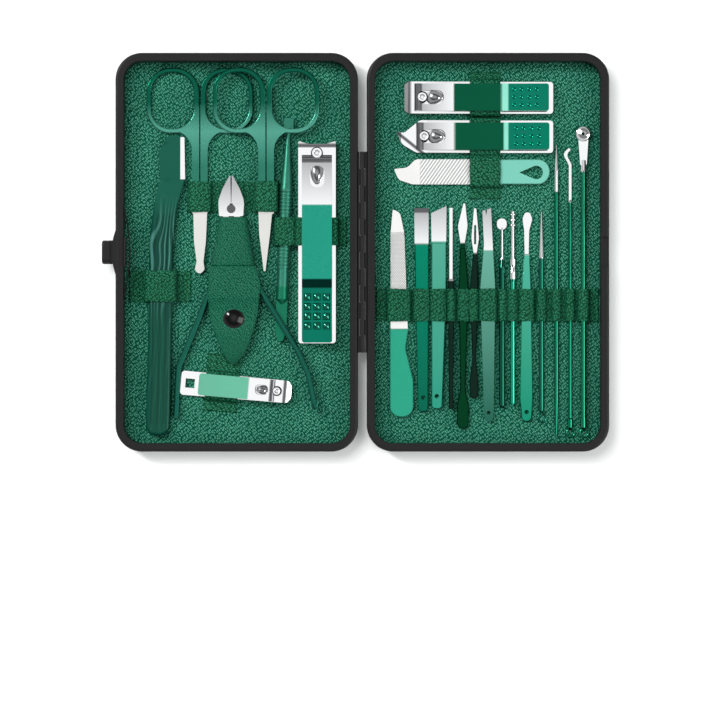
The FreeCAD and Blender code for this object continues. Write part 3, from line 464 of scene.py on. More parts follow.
@dataclass(frozen=True)
class HardFinish:
    """A hard piece's finish: its zones along one direction, and what pattern they carry."""

    name: str
    zones: tuple[Zone, ...]
    direction: Point = (0.0, 1.0)
    centre: Point = (0.0, 0.0)
    pattern: Pattern = Pattern.BRUSHED
    coat: float = 0.0
    gloss: float = 0.2
    warp: float = 3.0
    # Colour painted where the pattern is low in cut zones: black by default, which darkens it; pale on the
    # razor grip, where it paints highlight lines along the grooves.
    pattern_paint: Screen = (0, 0, 0)
    start: float = -80.0
    end: float = 80.0
    zone_gap: float = 0.0005
    smear: float = 0.05
    relief: float = 0.6
    relief_mm: float = 0.12
    coat_roughness: float = 0.06

    def material(self) -> bpy.types.Material:
        """Returns the finish's material."""
        made, wiring, surface, place = new_material(self.name)
        along = wiring.add("ShaderNodeVectorMath", {0: place, 1: (*self.direction, 0.0)},
                           operation="DOT_PRODUCT")
        middle = self.direction[0] * self.centre[0] + self.direction[1] * self.centre[1]
        low = (middle + self.start) * MM
        high = (middle + self.end) * MM
        share = wiring.math("DIVIDE", wiring.math("SUBTRACT", along.outputs["Value"], low), high - low)
        packed = wiring.ramp(share, self._stops(Finish.surface_stop))
        rough, metal, cut = wiring.add("ShaderNodeSeparateColor", {0: packed}).outputs
        height, tone = self._pattern(wiring, place)
        wave, smear = Effect.HANDLING.place(wiring, place)
        used = [finish for zone in self.zones for finish in zone.ends()]
        shades = {finish.colour for finish in used}
        if len(shades) > 1 or any(finish.cut for finish in used):
            colour = wiring.ramp(share, self._stops(Finish.colour_stop))
            # Cut zones blend towards the pattern colour where the pattern is low: darker by default, painted
            # highlight lines on the razor grip.
            pattern_paint = wiring.math("MULTIPLY", wiring.math("SUBTRACT", 1.0, tone), cut)
            wiring.feed(surface, "Base Color", wiring.blend(pattern_paint, colour, screen_colour(*self.pattern_paint)))
        else:
            wiring.feed(surface, "Base Color", screen_colour(*shades.pop()))
        metals = {finish.metallic for finish in used}
        wiring.feed(surface, "Metallic", metal if len(metals) > 1 else metals.pop())
        smeared = wiring.math("MULTIPLY", smear, self.smear)
        wiring.feed(surface, "Roughness", wiring.math("ADD", rough, smeared))
        ridge = wiring.math("MULTIPLY", height, cut)
        raised = wiring.math("ADD", ridge, wiring.math("MULTIPLY", wave, self.warp))
        bump = wiring.add("ShaderNodeBump", {"Strength": self.relief, "Distance": self.relief_mm * MM,
                                             "Height": raised})
        wiring.feed(surface, "Normal", bump.outputs[0])
        surface.inputs["Coat Weight"].default_value = self.coat
        surface.inputs["Coat Roughness"].default_value = self.coat_roughness
        surface.inputs["Specular IOR Level"].default_value = self.gloss
        return made

    def _stops(self, worth: Callable[[Finish], Colour]) -> list[tuple[float, Colour]]:
        """Lists the ramp stops of the zones.

        Args:
            worth: What a finish puts on the ramp.

        Returns:
            Place and colour of each stop, in order.
        """
        stops: list[tuple[float, Colour]] = []
        begin = 0.0
        for zone in self.zones:
            first, last = zone.ends()
            end = min(1.0, (zone.until - self.start) / (self.end - self.start))
            stops += [(begin, worth(first)), (end, worth(last))]
            begin = end + self.zone_gap
        return stops

    def _pattern(self, wiring: Wiring, place: bpy.types.NodeSocket) -> Sockets:
        """Places the pattern of the cut zones.

        Args:
            wiring: The material's node tree.
            place: Coordinates on the piece.

        Returns:
            Sockets of the pattern's height and tone.
        """
        if self.pattern is Pattern.CROSS_CUT:
            return Effect.HATCH.place(wiring, place, Pitch=0.00085, Lean=0.8, Second=1.0)
        if self.pattern is Pattern.SLANTED:
            return Effect.HATCH.place(wiring, place, Pitch=0.0014, Lean=-0.7, Second=0.0)
        if self.pattern is Pattern.SPECKLED:
            return Effect.COAT.place(wiring, place, Speckle=4200.0, Streak=5000.0)
        if self.pattern is Pattern.GROOVED:
            return Effect.FLOW.place(wiring, place)
        return Effect.COAT.place(wiring, place)


def new_material(name: str) -> tuple:
    """Starts a material with a Principled surface and object coordinates.

    Args:
        name: The material's name.

    Returns:
        The material, its wiring, its surface node and the coordinates' socket.
    """
    made = bpy.data.materials.new(name)
    made.use_nodes = True
    wiring = Wiring(made.node_tree)
    surface = made.node_tree.nodes["Principled BSDF"]
    place = wiring.add("ShaderNodeTexCoord").outputs["Object"]
    return made, wiring, surface, place


# Each hide gives the painted highlight on its pebbles' tops, then the painted shade in its creases.
LINING_HIDE = HideFinish("lining_hide", (82, 162, 136), (0, 66, 48))
COVER_HIDE = HideFinish("cover_hide", (66, 148, 120), (0, 70, 50))
STRAP_HIDE = HideFinish("strap_hide", (44, 120, 90), (0, 54, 32), roughness=0.30, depth_mm=0.25, gloss=0.1)
TONGUE_HIDE = HideFinish("tongue_hide", (34, 110, 86), (0, 64, 44), roughness=0.26, cells=1350.0,
                         depth_mm=0.12, gloss=0.12)

CHROME = Finish((240, 241, 242), 0.07)
# Painted shade: chrome darkened where the clipper bars look dark.
BAR_PAINTED_SHADE = Finish((120, 122, 124), 0.12)
# Painted shade: chrome darkened as dark reflections along cutting edges, on the pivot screws and at the
# square planer's end.
CHROME_PAINTED_SHADE = Finish((96, 98, 100), 0.15)
# Painted shade: chrome darkened inside the clipper dishes.
DISH_PAINTED_SHADE = Finish((150, 152, 154), 0.14)
# Painted shade: chrome darkened where shiny parts fade towards their tips and bars.
SHADED_CHROME = Finish((178, 180, 182), 0.10)
STEEL = Finish((238, 238, 234), 0.30)
BLACK_PAINT = Finish((26, 25, 26), 0.36, 0.0, 0.05)
# Black steel for the springs and the snap stud, and also the painted shadow ring under each clipper's pin
# head.
BLACK_STEEL_AND_SHADOW = Finish((8, 8, 9), 0.30, 0.1)
# Painted shadow inside the slits that the straps go into.
SLIT_DARK = Finish((0, 26, 17), 0.8, 0.0)
BLACK_DOME = Finish((4, 4, 5), 0.12, 0.0)
GRIP = Finish((4, 56, 45), 0.2, 0.1, 0.45)
GRIP_LOW = Finish((6, 64, 50), 0.18, 0.1, 0.04)
RAZOR_HEAD = Finish((10, 76, 60), 0.24, 0.1)
TEAL = Finish((50, 124, 104), 0.24, 0.85, 0.06)
# Painted highlight: a lighter copy of the teal where the scissors' shanks meet.
TEAL_PAINTED_HIGHLIGHT = Finish((86, 164, 144), 0.24, 0.85, 0.06)
# Painted shade: a darker teal on the scissors' rings.
RING_PAINTED_SHADE = Finish((12, 88, 68), 0.22, 0.9)
PUSHER_LOW = Finish((24, 112, 84), 0.30, 0.7)
PUSHER_TEAL = Finish((52, 122, 102), 0.34, 0.75)
TEAL_HANDLE = Finish((30, 96, 80), 0.22, 0.95)
SPARKLE = Finish((38, 160, 136), 0.34, 0.7, 0.30)
PAD_TEAL = Finish((16, 120, 98), 0.20)
# Painted shade: the darkened groove before the toe lever's pad.
GROOVE_PAINTED_SHADE = Finish((6, 44, 38), 0.3)
DEEP = Finish((0, 84, 58), 0.36, 0.7, 0.10)
AQUA = Finish((150, 232, 210), 0.14)
PAD_DEEP = Finish((16, 122, 98), 0.14)
PALE = Finish((104, 184, 154), 0.34, 0.6, 0.06)
PALE_END = Finish((100, 160, 148), 0.34, 0.6, 0.06)
MINT = Finish((112, 186, 168), 0.45, 0.25, 0.05)
MINT_DEEP = Finish((46, 166, 136), 0.40, 0.5, 0.22)
FILE_STEEL = Finish((240, 241, 240), 0.30, 0.8, 0.55)
PLAIN_STEEL = Finish((246, 246, 244), 0.22, 0.95)
BLACK_GREEN = Finish((8, 34, 25), 0.16, 0.7)
# Lighter and darker copies of the planers' coats: each coat fades from the darker to the lighter, painted
# light and shade.
PLANER_PAINTED_LIGHT = Finish((8, 138, 108), 0.26, 0.9, 0.05)
PLANER_PAINTED_SHADE = Finish((14, 98, 76), 0.26, 0.9, 0.05)
PALE_PLANER_PAINTED_LIGHT = Finish((88, 176, 152), 0.30, 0.85, 0.05)
PALE_PLANER_PAINTED_SHADE = Finish((36, 156, 130), 0.30, 0.85, 0.05)


@dataclass(frozen=True)
class Half:
    """One half of the case, with its middle and its liner height read from the frame, in mm."""

    name: str
    body: str
    x: float
    liner_z: float

    @classmethod
    def read(cls, name: str) -> Half:
        """Reads a half's place from its liner node.

        Args:
            name: The half's name, which is also its body's.

        Returns:
            The half.
        """
        low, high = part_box(f"{name}_liner")
        return cls(name, name, (low.x + high.x) / 2 / MM, high.z / MM)

    def world(self, u: float, v: float, z: float) -> Place:
        """Returns a place on the half as a point of the row frame, in metres."""
        return ((self.x + u) * MM, v * MM, (self.liner_z + z) * MM)


def mesh_piece(name: str, points: Sequence, faces: Sequence, material: bpy.types.Material,
               flat: Sequence | None = None, subdivide: bool = True) -> bpy.types.Object:
    """Makes a smooth mesh object.

    Args:
        name: The piece's name.
        points: Its vertices, in metres.
        faces: Vertex numbers of each face.
        material: Its material.
        flat: Where each vertex lies on the leather before it is bent, in metres.
        subdivide: Whether the mesh is subdivided once.

    Returns:
        The new object.
    """
    mesh = bpy.data.meshes.new(name)
    mesh.from_pydata([tuple(p) for p in points], [], faces)
    mesh.validate()
    mesh.polygons.foreach_set("use_smooth", [True] * len(mesh.polygons))
    mesh.materials.append(material)
    if flat is not None:
        spots = np.column_stack([np.array(flat, float), np.zeros(len(flat))])
        mesh.attributes.new(SHEET, "FLOAT_VECTOR", "POINT").data.foreach_set("vector", spots.ravel())
    piece = bpy.data.objects.new(name, mesh)
    bpy.context.scene.collection.objects.link(piece)
    if subdivide:
        smooth = piece.modifiers.new("soften", "SUBSURF")
        smooth.levels = smooth.render_levels = 1
    return piece


def rounded_ring(width: float, length: float, radius: float, corner_steps: int = 16,
                 side_steps: int = 20) -> list[Point]:
    """Lists points round a rounded rectangle.

    Args:
        width: Size along x.
        length: Size along y.
        radius: Corner radius.
        corner_steps: Steps round each corner.
        side_steps: Steps along each side.

    Returns:
        The points, turning to the left from the right side's lower end.
    """
    x, y = width / 2 - radius, length / 2 - radius
    middles = ((x, y), (-x, y), (-x, -y), (x, -y))
    ring: list[Point] = []
    for quarter, (cx, cy) in enumerate(middles):
        for step in range(corner_steps + 1):
            angle = math.pi / 2 * (quarter + step / corner_steps)
            ring.append((cx + radius * math.cos(angle), cy + radius * math.sin(angle)))
        nx, ny = middles[(quarter + 1) % 4]
        angle = math.pi / 2 * (quarter + 1)
        here = ring[-1]
        there = (nx + radius * math.cos(angle), ny + radius * math.sin(angle))
        for step in range(1, side_steps):
            share = step / side_steps
            ring.append((here[0] + share * (there[0] - here[0]), here[1] + share * (there[1] - here[1])))
    return ring


def ring_faces(rings: int, count: int) -> list[tuple[int, ...]]:
    """Lists the faces between stacked rings, closed at both ends.

    Args:
        rings: Number of rings.
        count: Points in each ring.

    Returns:
        Vertex numbers of each face.
    """
    faces: list[tuple[int, ...]] = []
    for level in range(rings - 1):
        a, b = level * count, (level + 1) * count
        for i in range(count):
            j = (i + 1) % count
            faces.append((a + i, a + j, b + j, b + i))
    faces.append(tuple(reversed(range(count))))
    faces.append(tuple(range((rings - 1) * count, rings * count)))
    return faces


def bent_path(corners: Sequence[Sequence[float]], step: float = 0.45) -> list[Point]:
    """Rounds the corners of an open path and divides it evenly.

    Args:
        corners: (x, z) or (x, z, radius) of each corner.
        step: Distance between the points that come out.

    Returns:
        Points along the rounded path.
    """
    fine: list[Point] = [(corners[0][0], corners[0][1])]
    for before, corner, after in zip(corners, corners[1:], corners[2:]):
        middle = Vector(corner[:2])
        back = Vector(before[:2]) - middle
        ahead = Vector(after[:2]) - middle
        wanted = corner[2] if len(corner) > 2 else BEND_RUN
        run = min(wanted, BEND_SHARE * back.length, BEND_SHARE * ahead.length)
        start, end = middle + back.normalized() * run, middle + ahead.normalized() * run
        for i in range(BEND_STEPS + 1):
            t = i / BEND_STEPS
            spot = start * (1 - t) ** 2 + middle * 2 * t * (1 - t) + end * t ** 2
            fine.append((spot.x, spot.y))
    fine.append((corners[-1][0], corners[-1][1]))
    lengths = [0.0]
    for a, b in zip(fine, fine[1:]):
        lengths.append(lengths[-1] + math.dist(a, b))
    count = max(LEAST_STEPS, round(lengths[-1] / step))
    places = np.linspace(0.0, lengths[-1], count + 1)
    xs = np.interp(places, lengths, [p[0] for p in fine])
    zs = np.interp(places, lengths, [p[1] for p in fine])
    return list(zip(xs.tolist(), zs.tolist()))


def flowing(stations: Sequence[Sequence[float]], count: int) -> np.ndarray:
    """Draws a smooth curve through stations.

    Args:
        stations: Rows of numbers that change along the curve, the first one steadily.
        count: Number of rows that come out.

    Returns:
        Rows along the curve.
    """
    rows = np.array(stations, float)
    padded = np.vstack([2 * rows[0] - rows[1], rows, 2 * rows[-1] - rows[-2]])
    out = []
    for place in np.linspace(0.0, len(rows) - 1 - SHORT_OF_END, count):
        i, t = int(place), place - int(place)
        p0, p1, p2, p3 = padded[i:i + 4]
        out.append(0.5 * (2 * p1 + (p2 - p0) * t + (2 * p0 - 5 * p1 + 4 * p2 - p3) * t ** 2
                          + (3 * p1 - p0 - 3 * p2 + p3) * t ** 3))
    return np.array(out)


def unit(vectors: np.ndarray) -> np.ndarray:
    """Returns vectors at length one, taken along the last axis."""
    return vectors / np.maximum(np.linalg.norm(vectors, axis=-1, keepdims=True), TINY)


def grid_border(rows: int, columns: int) -> list[tuple[int, int]]:
    """Lists the places on the border of a grid, once round from its first corner.

    Args:
        rows: Number of rows.
        columns: Number of columns.

    Returns:
        Row and column of each place.
    """
    border = [(0, c) for c in range(columns)] + [(r, columns - 1) for r in range(1, rows)]
    border += [(rows - 1, c) for c in range(columns - 2, -1, -1)] + [(r, 0) for r in range(rows - 2, 0, -1)]
    return border


def sheet_mesh(grid: np.ndarray, thick: float) -> tuple[np.ndarray, list[tuple[int, ...]], np.ndarray]:
    """Thickens a grid of points into a closed sheet with rounded edges.

    Args:
        grid: Middle points of the sheet, rows by columns by three.
        thick: Thickness, in the grid's own unit.

    Returns:
        The vertices, the faces and where each vertex lies on the flat sheet.
    """
    rows, columns, _ = grid.shape
    along = np.linalg.norm(np.diff(grid, axis=0), axis=2).max(axis=1)
    across = np.linalg.norm(np.diff(grid, axis=1), axis=2).max(axis=0)
    lines = np.concatenate([[0.0], np.cumsum(along)]), np.concatenate([[0.0], np.cumsum(across)])
    spread = np.stack(np.meshgrid(*lines, indexing="ij"), axis=2)
    down = np.gradient(grid, axis=0)
    over = np.gradient(grid, axis=1)
    normal = unit(np.cross(down, over))
    upper, lower = grid + normal * thick / 2, grid - normal * thick / 2
    loop = grid_border(rows, columns)
    rim = []
    for r, c in loop:
        out = np.zeros(3)
        if r in (0, rows - 1):
            out += unit(down[r, c]) * (-1 if r == 0 else 1)
        if c in (0, columns - 1):
            out += unit(over[r, c]) * (-1 if c == 0 else 1)
        rim.append(grid[r, c] + unit(out) * thick * EDGE_SHARE)
    points = np.vstack([upper.reshape(-1, 3), lower.reshape(-1, 3), np.array(rim)])
    size = rows * columns
    faces: list[tuple[int, ...]] = []
    for r in range(rows - 1):
        for c in range(columns - 1):
            a, b = r * columns + c, r * columns + c + 1
            d, e = a + columns, b + columns
            faces.append((a, d, e, b))
            faces.append((size + b, size + e, size + d, size + a))
    for k, (r, c) in enumerate(loop):
        nr, nc = loop[(k + 1) % len(loop)]
        here, there = r * columns + c, nr * columns + nc
        edge, edge_next = 2 * size + k, 2 * size + (k + 1) % len(loop)
        faces.append((here, there, edge_next, edge))
        faces.append((edge, edge_next, size + there, size + here))
    spots = spread.reshape(-1, 2)
    return points, faces, np.vstack([spots, spots, [spread[r, c] for r, c in loop]])


@dataclass
class CaseHalf:
    """Leather cover and lining of one half, in mm."""

    half: Half
    edge_round: float = 4.2
    tuck: float = 0.55
    wall: float = 2.0
    floor: float = 1.5
    corner: float = 10.7
    least_corner: float = 6.0
    liner_gap: float = 0.2
    edge_steps: int = 12
    slack: float = 0.05
    sag: float = 0.03
    slack_from: int = 6
    slack_pace: float = 0.05
    slack_layer: float = 3.0

    def build(self, cover: bpy.types.Material, lining: bpy.types.Material) -> list[bpy.types.Object]:
        """Builds the cover and the lining.

        Args:
            cover: Material of the outside.
            lining: Material of the inside.

        Returns:
            The two pieces.
        """
        return [self._cover(cover), self._lining(lining)]

    def _cover(self, material: bpy.types.Material) -> bpy.types.Object:
        """Builds the padded outer cover, closed round its board.

        Args:
            material: Material of the outside.

        Returns:
            The piece.
        """
        low, high = (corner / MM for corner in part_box(f"{self.half.name}_shell"))
        width, length, top = high.x - low.x, high.y - low.y, high.z
        r = self.edge_round
        side = [(self.wall, self.floor), (self.wall, top - 0.1), (self.wall - 0.1, top),
                (self.tuck + 0.3, top), (self.tuck + 0.09, top - 0.09), (self.tuck, top - 0.3),
                (0.3, top - 0.8), (0.12, top - 1.4), (0.03, top - 2.0), (0.0, top - 2.6)]
        for step in range(self.edge_steps + 1):
            angle = math.pi / 2 * step / self.edge_steps
            side.append((r * (1 - math.cos(angle)), r * (1 - math.sin(angle))))
        side += [(r + 3.0, 0.0), (r + 12.0, 0.0)]
        runs = [math.dist(here, there) for here, there in zip(side, side[1:])]
        points, flat = [], []
        for level, (inset, z) in enumerate(side):
            ring = self._ring(width, length, self.corner, inset)
            points += [((self.half.x + x) * MM, y * MM, z * MM) for x, y in ring]
            spread = side[-1][0] - sum(runs[level:])
            flat += [(x * MM, y * MM) for x, y in self._ring(width, length, self.corner, spread)]
        faces = ring_faces(len(side), len(points) // len(side))
        piece = mesh_piece(f"{self.half.name}_cover_leather", points, faces, material, flat, subdivide=False)
        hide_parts(f"{self.half.name}_shell")
        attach(piece, self.half.body)
        return piece

    def _lining(self, material: bpy.types.Material) -> bpy.types.Object:
        """Builds the inner lining, a little slack between its glued edges.

        Args:
            material: Material of the inside.

        Returns:
            The piece.
        """
        low, high = (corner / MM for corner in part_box(f"{self.half.name}_liner"))
        width, length = high.x - low.x, high.y - low.y
        corner = self.corner - self.wall - self.liner_gap
        side = [(6.0, low.z), (0.0, low.z), (0.0, high.z - 0.5), (0.3, high.z - 0.12), (1.0, high.z - 0.04)]
        side += [(inset, high.z - 0.03) for inset in (2.2, 4.0, 7.0, 11.0, 16.0, 22.0, 28.0, 34.0, 40.0)]
        points = []
        for level, (inset, z) in enumerate(side):
            for x, y in self._ring(width, length, corner, inset):
                rise = 0.0
                if level >= self.slack_from:
                    spot = Vector((x * self.slack_pace, y * self.slack_pace, self.slack_layer))
                    rise = self.slack * noise.noise(spot) - self.sag
                points.append(((self.half.x + x) * MM, y * MM, (z + rise) * MM))
        faces = ring_faces(len(side), len(points) // len(side))
        flat = [(x, y) for x, y, _ in points]
        piece = mesh_piece(f"{self.half.name}_lining_leather", points, faces, material, flat, subdivide=False)
        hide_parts(f"{self.half.name}_liner")
        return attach(piece, self.half.body)

    def _ring(self, width: float, length: float, corner: float, inset: float) -> list[Point]:
        """Returns points round an outline that is drawn in by an inset, in mm."""
        return rounded_ring(width - 2 * inset, length - 2 * inset, max(corner - inset, self.least_corner))


def turned(u: float, v: float, degrees: float) -> Point:
    """Returns a flat place turned about the origin."""
    cosine, sine = math.cos(math.radians(degrees)), math.sin(math.radians(degrees))
    return u * cosine - v * sine, u * sine + v * cosine


@dataclass(frozen=True)
class Loop:
    """A raised stretch of a strap over one tool: where it starts and ends, and the tool's height."""

    low: float
    high: float
    height: float


@dataclass
class Strap:
    """A leather band sewn down between raised loops, in mm on its half.

    It runs from its start to its end, with one edge at its side value and the other a width away.
    """

    name: str
    node: str
    half: Half
    start: float
    end: float
    loops: tuple[Loop, ...]
    side: float
    width: float
    along_v: bool = False
    shift: Point = (0.0, 0.0)
    turn: float = 0.0
    thick: float = 0.7
    fit: float = 0.3
    slope: float = 0.25
    crown: float = 0.4
    dip: float = 1.0
    slit: float = 0.4
    columns: int = 11
    curl: float = 0.05
    drape: float = 0.05
    sway: float = 0.08
    drape_pace: Point = (0.5, 0.35)
    drape_layer: float = 7.0
    sway_pace: float = 0.6
    curl_power: int = 6
    slit_depth: float = 0.2
    slit_rise: float = 0.06
    foot_round: float = 0.7
    shoulder_round: float = 1.3
    crown_round: float = 3.0
    dip_shoulder_round: float = 0.4
    dip_round: float = 0.25

    def build(self, material: bpy.types.Material, shadow: bpy.types.Material) -> list[bpy.types.Object]:
        """Builds the band and the slits that its ends go into.

        Args:
            material: The strap leather.
            shadow: The dark of the slits.

        Returns:
            The two pieces.
        """
        path = bent_path(self._corners())
        across = np.linspace(0.0, self.width, self.columns)
        grid = np.zeros((len(path), self.columns, 3))
        for i, (along, z) in enumerate(path):
            for j, offset in enumerate(across):
                side = 2 * offset / self.width - 1
                spot = Vector((along * self.drape_pace[0], offset * self.drape_pace[1], self.drape_layer))
                lift = self.drape * noise.noise(spot)
                shifted = offset + self.sway * math.sin(self.sway_pace * along) * side
                grid[i, j] = self._spot(along, shifted, z - self.curl * side ** self.curl_power + lift)
        if self.along_v:
            grid = grid[:, ::-1]
        points, faces, flat = sheet_mesh(grid, self.thick * MM)
        piece = mesh_piece(self.name, points, faces, material, flat)
        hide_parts(self.node)
        return [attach(piece, self.half.body), self._slits(shadow)]

    def _slits(self, material: bpy.types.Material) -> bpy.types.Object:
        """Builds dark pieces in the lining at both ends, painted shadow in the slits that the band goes into.

        Args:
            material: The dark of the slits.

        Returns:
            The piece.
        """
        points, faces = [], []
        for end in (self.start, self.end):
            low, high = end - self.slit / 2, end + self.slit / 2
            left, right = -self.slit, self.width + self.slit
            ring = [(low, left), (high, left), (high, right), (low, right)]
            if self.along_v:
                ring.reverse()
            first = len(points)
            levels = (-self.slit_depth, self.slit_rise)
            points += [self._spot(along, offset, z) for z in levels for along, offset in ring]
            faces += [tuple(first + i for i in face) for face in ring_faces(2, len(ring))]
        piece = mesh_piece(f"{self.name}_slits", points, faces, material, subdivide=False)
        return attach(piece, self.half.body)

    def _spot(self, along: float, offset: float, z: float) -> Place:
        """Returns a place on the band as a point of the row frame, in metres."""
        u, v = (self.side + offset, along) if self.along_v else (along, self.side + offset)
        u, v = turned(u, v, self.turn)
        return self.half.world(self.shift[0] + u, self.shift[1] + v, z)

    def _corners(self) -> list[tuple[float, ...]]:
        """Returns the corners of the band's middle line, with how far each is rounded."""
        middle = self.thick / 2
        foot = self.fit + self.slope + middle
        valley = 2 * (self.fit + self.slope + self.thick)
        line: list[tuple[float, ...]] = [(self.start, middle)]
        for i, loop in enumerate(self.loops):
            z = loop.height + self.fit + middle
            if i == 0 or loop.low - self.loops[i - 1].high > valley:
                line += [(loop.low - foot, middle, self.foot_round),
                         (loop.low - self.fit - middle, z, self.shoulder_round)]
            else:
                before = self.loops[i - 1]
                dip = min(before.height, loop.height) + self.fit + middle - self.dip
                line += [(before.high, before.height + self.fit + middle, self.dip_shoulder_round),
                         ((before.high + loop.low) / 2, max(dip, middle), self.dip_round),
                         (loop.low, z, self.dip_shoulder_round)]
            line.append(((loop.low + loop.high) / 2, z + self.crown, self.crown_round))
            last = i == len(self.loops) - 1
            if last or self.loops[i + 1].low - loop.high > valley:
                line += [(loop.high + self.fit + middle, z, self.shoulder_round),
                         (loop.high + foot, middle, self.foot_round)]
        line.append((self.end, middle))
        return line


def straps(base: Half, lid: Half) -> list[Strap]:
    """Lists the straps of both halves.

    Args:
        base: The base half.
        lid: The lid half.

    Returns:
        The straps, not yet built.
    """
    nose, brow, shank, swing, screw = -15.5, 12.0, 3.5, 3.75, 2.65
    brow_run, brow_tilt = 36.0, 3.0
    brow_rise = brow_run * math.tan(math.radians(brow_tilt))
    slim = 2.2
    tools = [(-40.8, -32.6, slim), (-29.8, -24.4, slim), (-23.1, -17.1, slim), (-16.3, -13.9, 4.2),
             (-12.0, -7.8, slim), (-7.3, -3.7, slim), (-3.1, 3.2, 4.6), (4.8, 7.4, 2.5), (9.1, 11.9, 2.8),
             (13.7, 18.6, slim), (21.3, 23.5, slim), (27.6, 29.6, 2.0), (33.4, 35.2, 1.9), (38.4, 41.2, 2.8)]
    return [
        Strap("razor_band", "razor_strap", base, start=-44.6, end=-19.4, side=-20.2, width=12.6,
              loops=(Loop(-37.1, -26.0, 4.6),)),
        Strap("scissors_band", "scissors_strap", base, start=-20.6, end=17.2, side=16.9, width=12.4,
              loops=(Loop(nose - shank, nose + swing, screw),
                     Loop(brow - shank, brow + swing, screw + brow_rise))),
        Strap("pusher_band", "pusher_strap", base, start=15.0, end=45.2, side=3.0, width=11.4, crown=0.3,
              loops=(Loop(16.6, 22.9, 4.7), Loop(25.3, 40.8, 3.9))),
        Strap("small_clipper_band", "small_clipper_strap", base, start=-10.4, end=13.0, side=0.0, width=13.4,
              crown=0.1, loops=(Loop(-5.0, 5.0, 2.9),), along_v=True, shift=(-13.0, -54.7),
              turn=SMALL_CLIPPER_TILT),
        Strap("clipper_band", "clipper_strap", lid, start=22.4, end=74.6, side=-7.2, width=12.4, crown=0.1,
              loops=(Loop(28.2, 38.8, 2.7), Loop(41.3, 54.7, 3.3), Loop(57.5, 70.7, 3.3)), along_v=True),
        Strap("tool_band", "tool_strap", lid, start=-46.0, end=46.0, side=-28.3, width=13.2, crown=0.7,
              loops=tuple(Loop(*row) for row in tools), thick=0.5, dip=1.3),
    ]


@dataclass
class NipperHolder:
    """Leather sleeve round the nipper and the tongue that snaps over it, in mm on the base half."""

    half: Half
    thick: float = 0.9
    tongue_thick: float = 1.0
    sleeve_top: float = 14.4
    sleeve_end: float = -5.35
    roof: float = 6.1
    lean: float = 0.15
    arch: float = 0.35
    sleeve_round: float = 2.6
    arch_round: float = 6.0
    sleeve_step: float = 0.2
    sleeve_rows: int = 26
    sleeve_columns: int = 61
    tongue_seat: float = 4.0
    tongue_crown: float = 0.6
    tongue_wide: float = 14.0
    tongue_rows: int = 70
    tongue_columns: int = 19

    def build(self, material: bpy.types.Material) -> list[bpy.types.Object]:
        """Builds the sleeve and the tongue.

        Args:
            material: The holder's leather.

        Returns:
            The two pieces.
        """
        return [self._sleeve(material), self._tongue(material)]

    def _sleeve(self, material: bpy.types.Material) -> bpy.types.Object:
        """Builds the arched sleeve.

        Args:
            material: The holder's leather.

        Returns:
            The piece.
        """
        edges = flowing([(self.sleeve_top, -7.6, 4.4), (9.0, -8.2, 5.0), (3.0, -9.4, 6.0),
                         (self.sleeve_end, -11.0, 7.4)], self.sleeve_rows)
        rows = []
        middle = self.thick / 2
        for v, left, right in edges:
            top = self.roof + middle
            path = bent_path([(left + middle, 0.0), (left + self.lean + middle, top, self.sleeve_round),
                              ((left + right) / 2, top + self.arch, self.arch_round),
                              (right - self.lean - middle, top, self.sleeve_round), (right - middle, 0.0)],
                             self.sleeve_step)
            places = np.linspace(0, len(path) - 1, self.sleeve_columns)
            us = np.interp(places, range(len(path)), [p[0] for p in path])
            zs = np.interp(places, range(len(path)), [p[1] for p in path])
            rows.append([self.half.world(u, v, z) for u, z in zip(us, zs)])
        points, faces, flat = sheet_mesh(np.array(rows), self.thick * MM)
        piece = mesh_piece("nipper_sleeve_leather", points, faces, material, flat)
        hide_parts("nipper_sleeve")
        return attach(piece, self.half.body)

    def _tongue(self, material: bpy.types.Material) -> bpy.types.Object:
        """Builds the leaf-shaped tongue.

        Args:
            material: The holder's leather.

        Returns:
            The piece.
        """
        high, low = self.roof + self.tongue_thick / 2, self.tongue_seat + self.tongue_thick / 2
        stations = [(-5.75, -11.0, 7.5, high), (-10.0, -11.6, 8.9, high), (-14.5, -11.75, 9.6, high),
                    (-18.2, -11.7, 9.2, high - 0.15), (-20.9, -11.6, 8.9, low + 1.1),
                    (-24.5, -11.4, 8.5, low + 0.3), (-28.5, -10.7, 7.7, low), (-33.0, -9.1, 6.3, low - 0.1),
                    (-38.0, -7.2, 4.7, 3.7), (-41.5, -5.7, 3.0, 3.15), (-44.2, -4.1, 0.9, 2.7),
                    (-45.7, -2.7, -0.7, 2.5), (-46.1, -2.0, -1.5, 2.45)]
        rows = []
        share = np.linspace(-1.0, 1.0, self.tongue_columns)
        for v, left, right, z in flowing(stations, self.tongue_rows):
            us = (left + right) / 2 + share * (right - left) / 2
            crown = self.tongue_crown * (1 - share ** 2) * min(1.0, (right - left) / self.tongue_wide)
            rows.append([self.half.world(u, v, z + c) for u, c in zip(us, crown)])
        points, faces, flat = sheet_mesh(np.array(rows), self.tongue_thick * MM)
        piece = mesh_piece("nipper_tongue_leather", points, faces, material, flat)
        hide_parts("nipper_flap")
        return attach(piece, "flap")


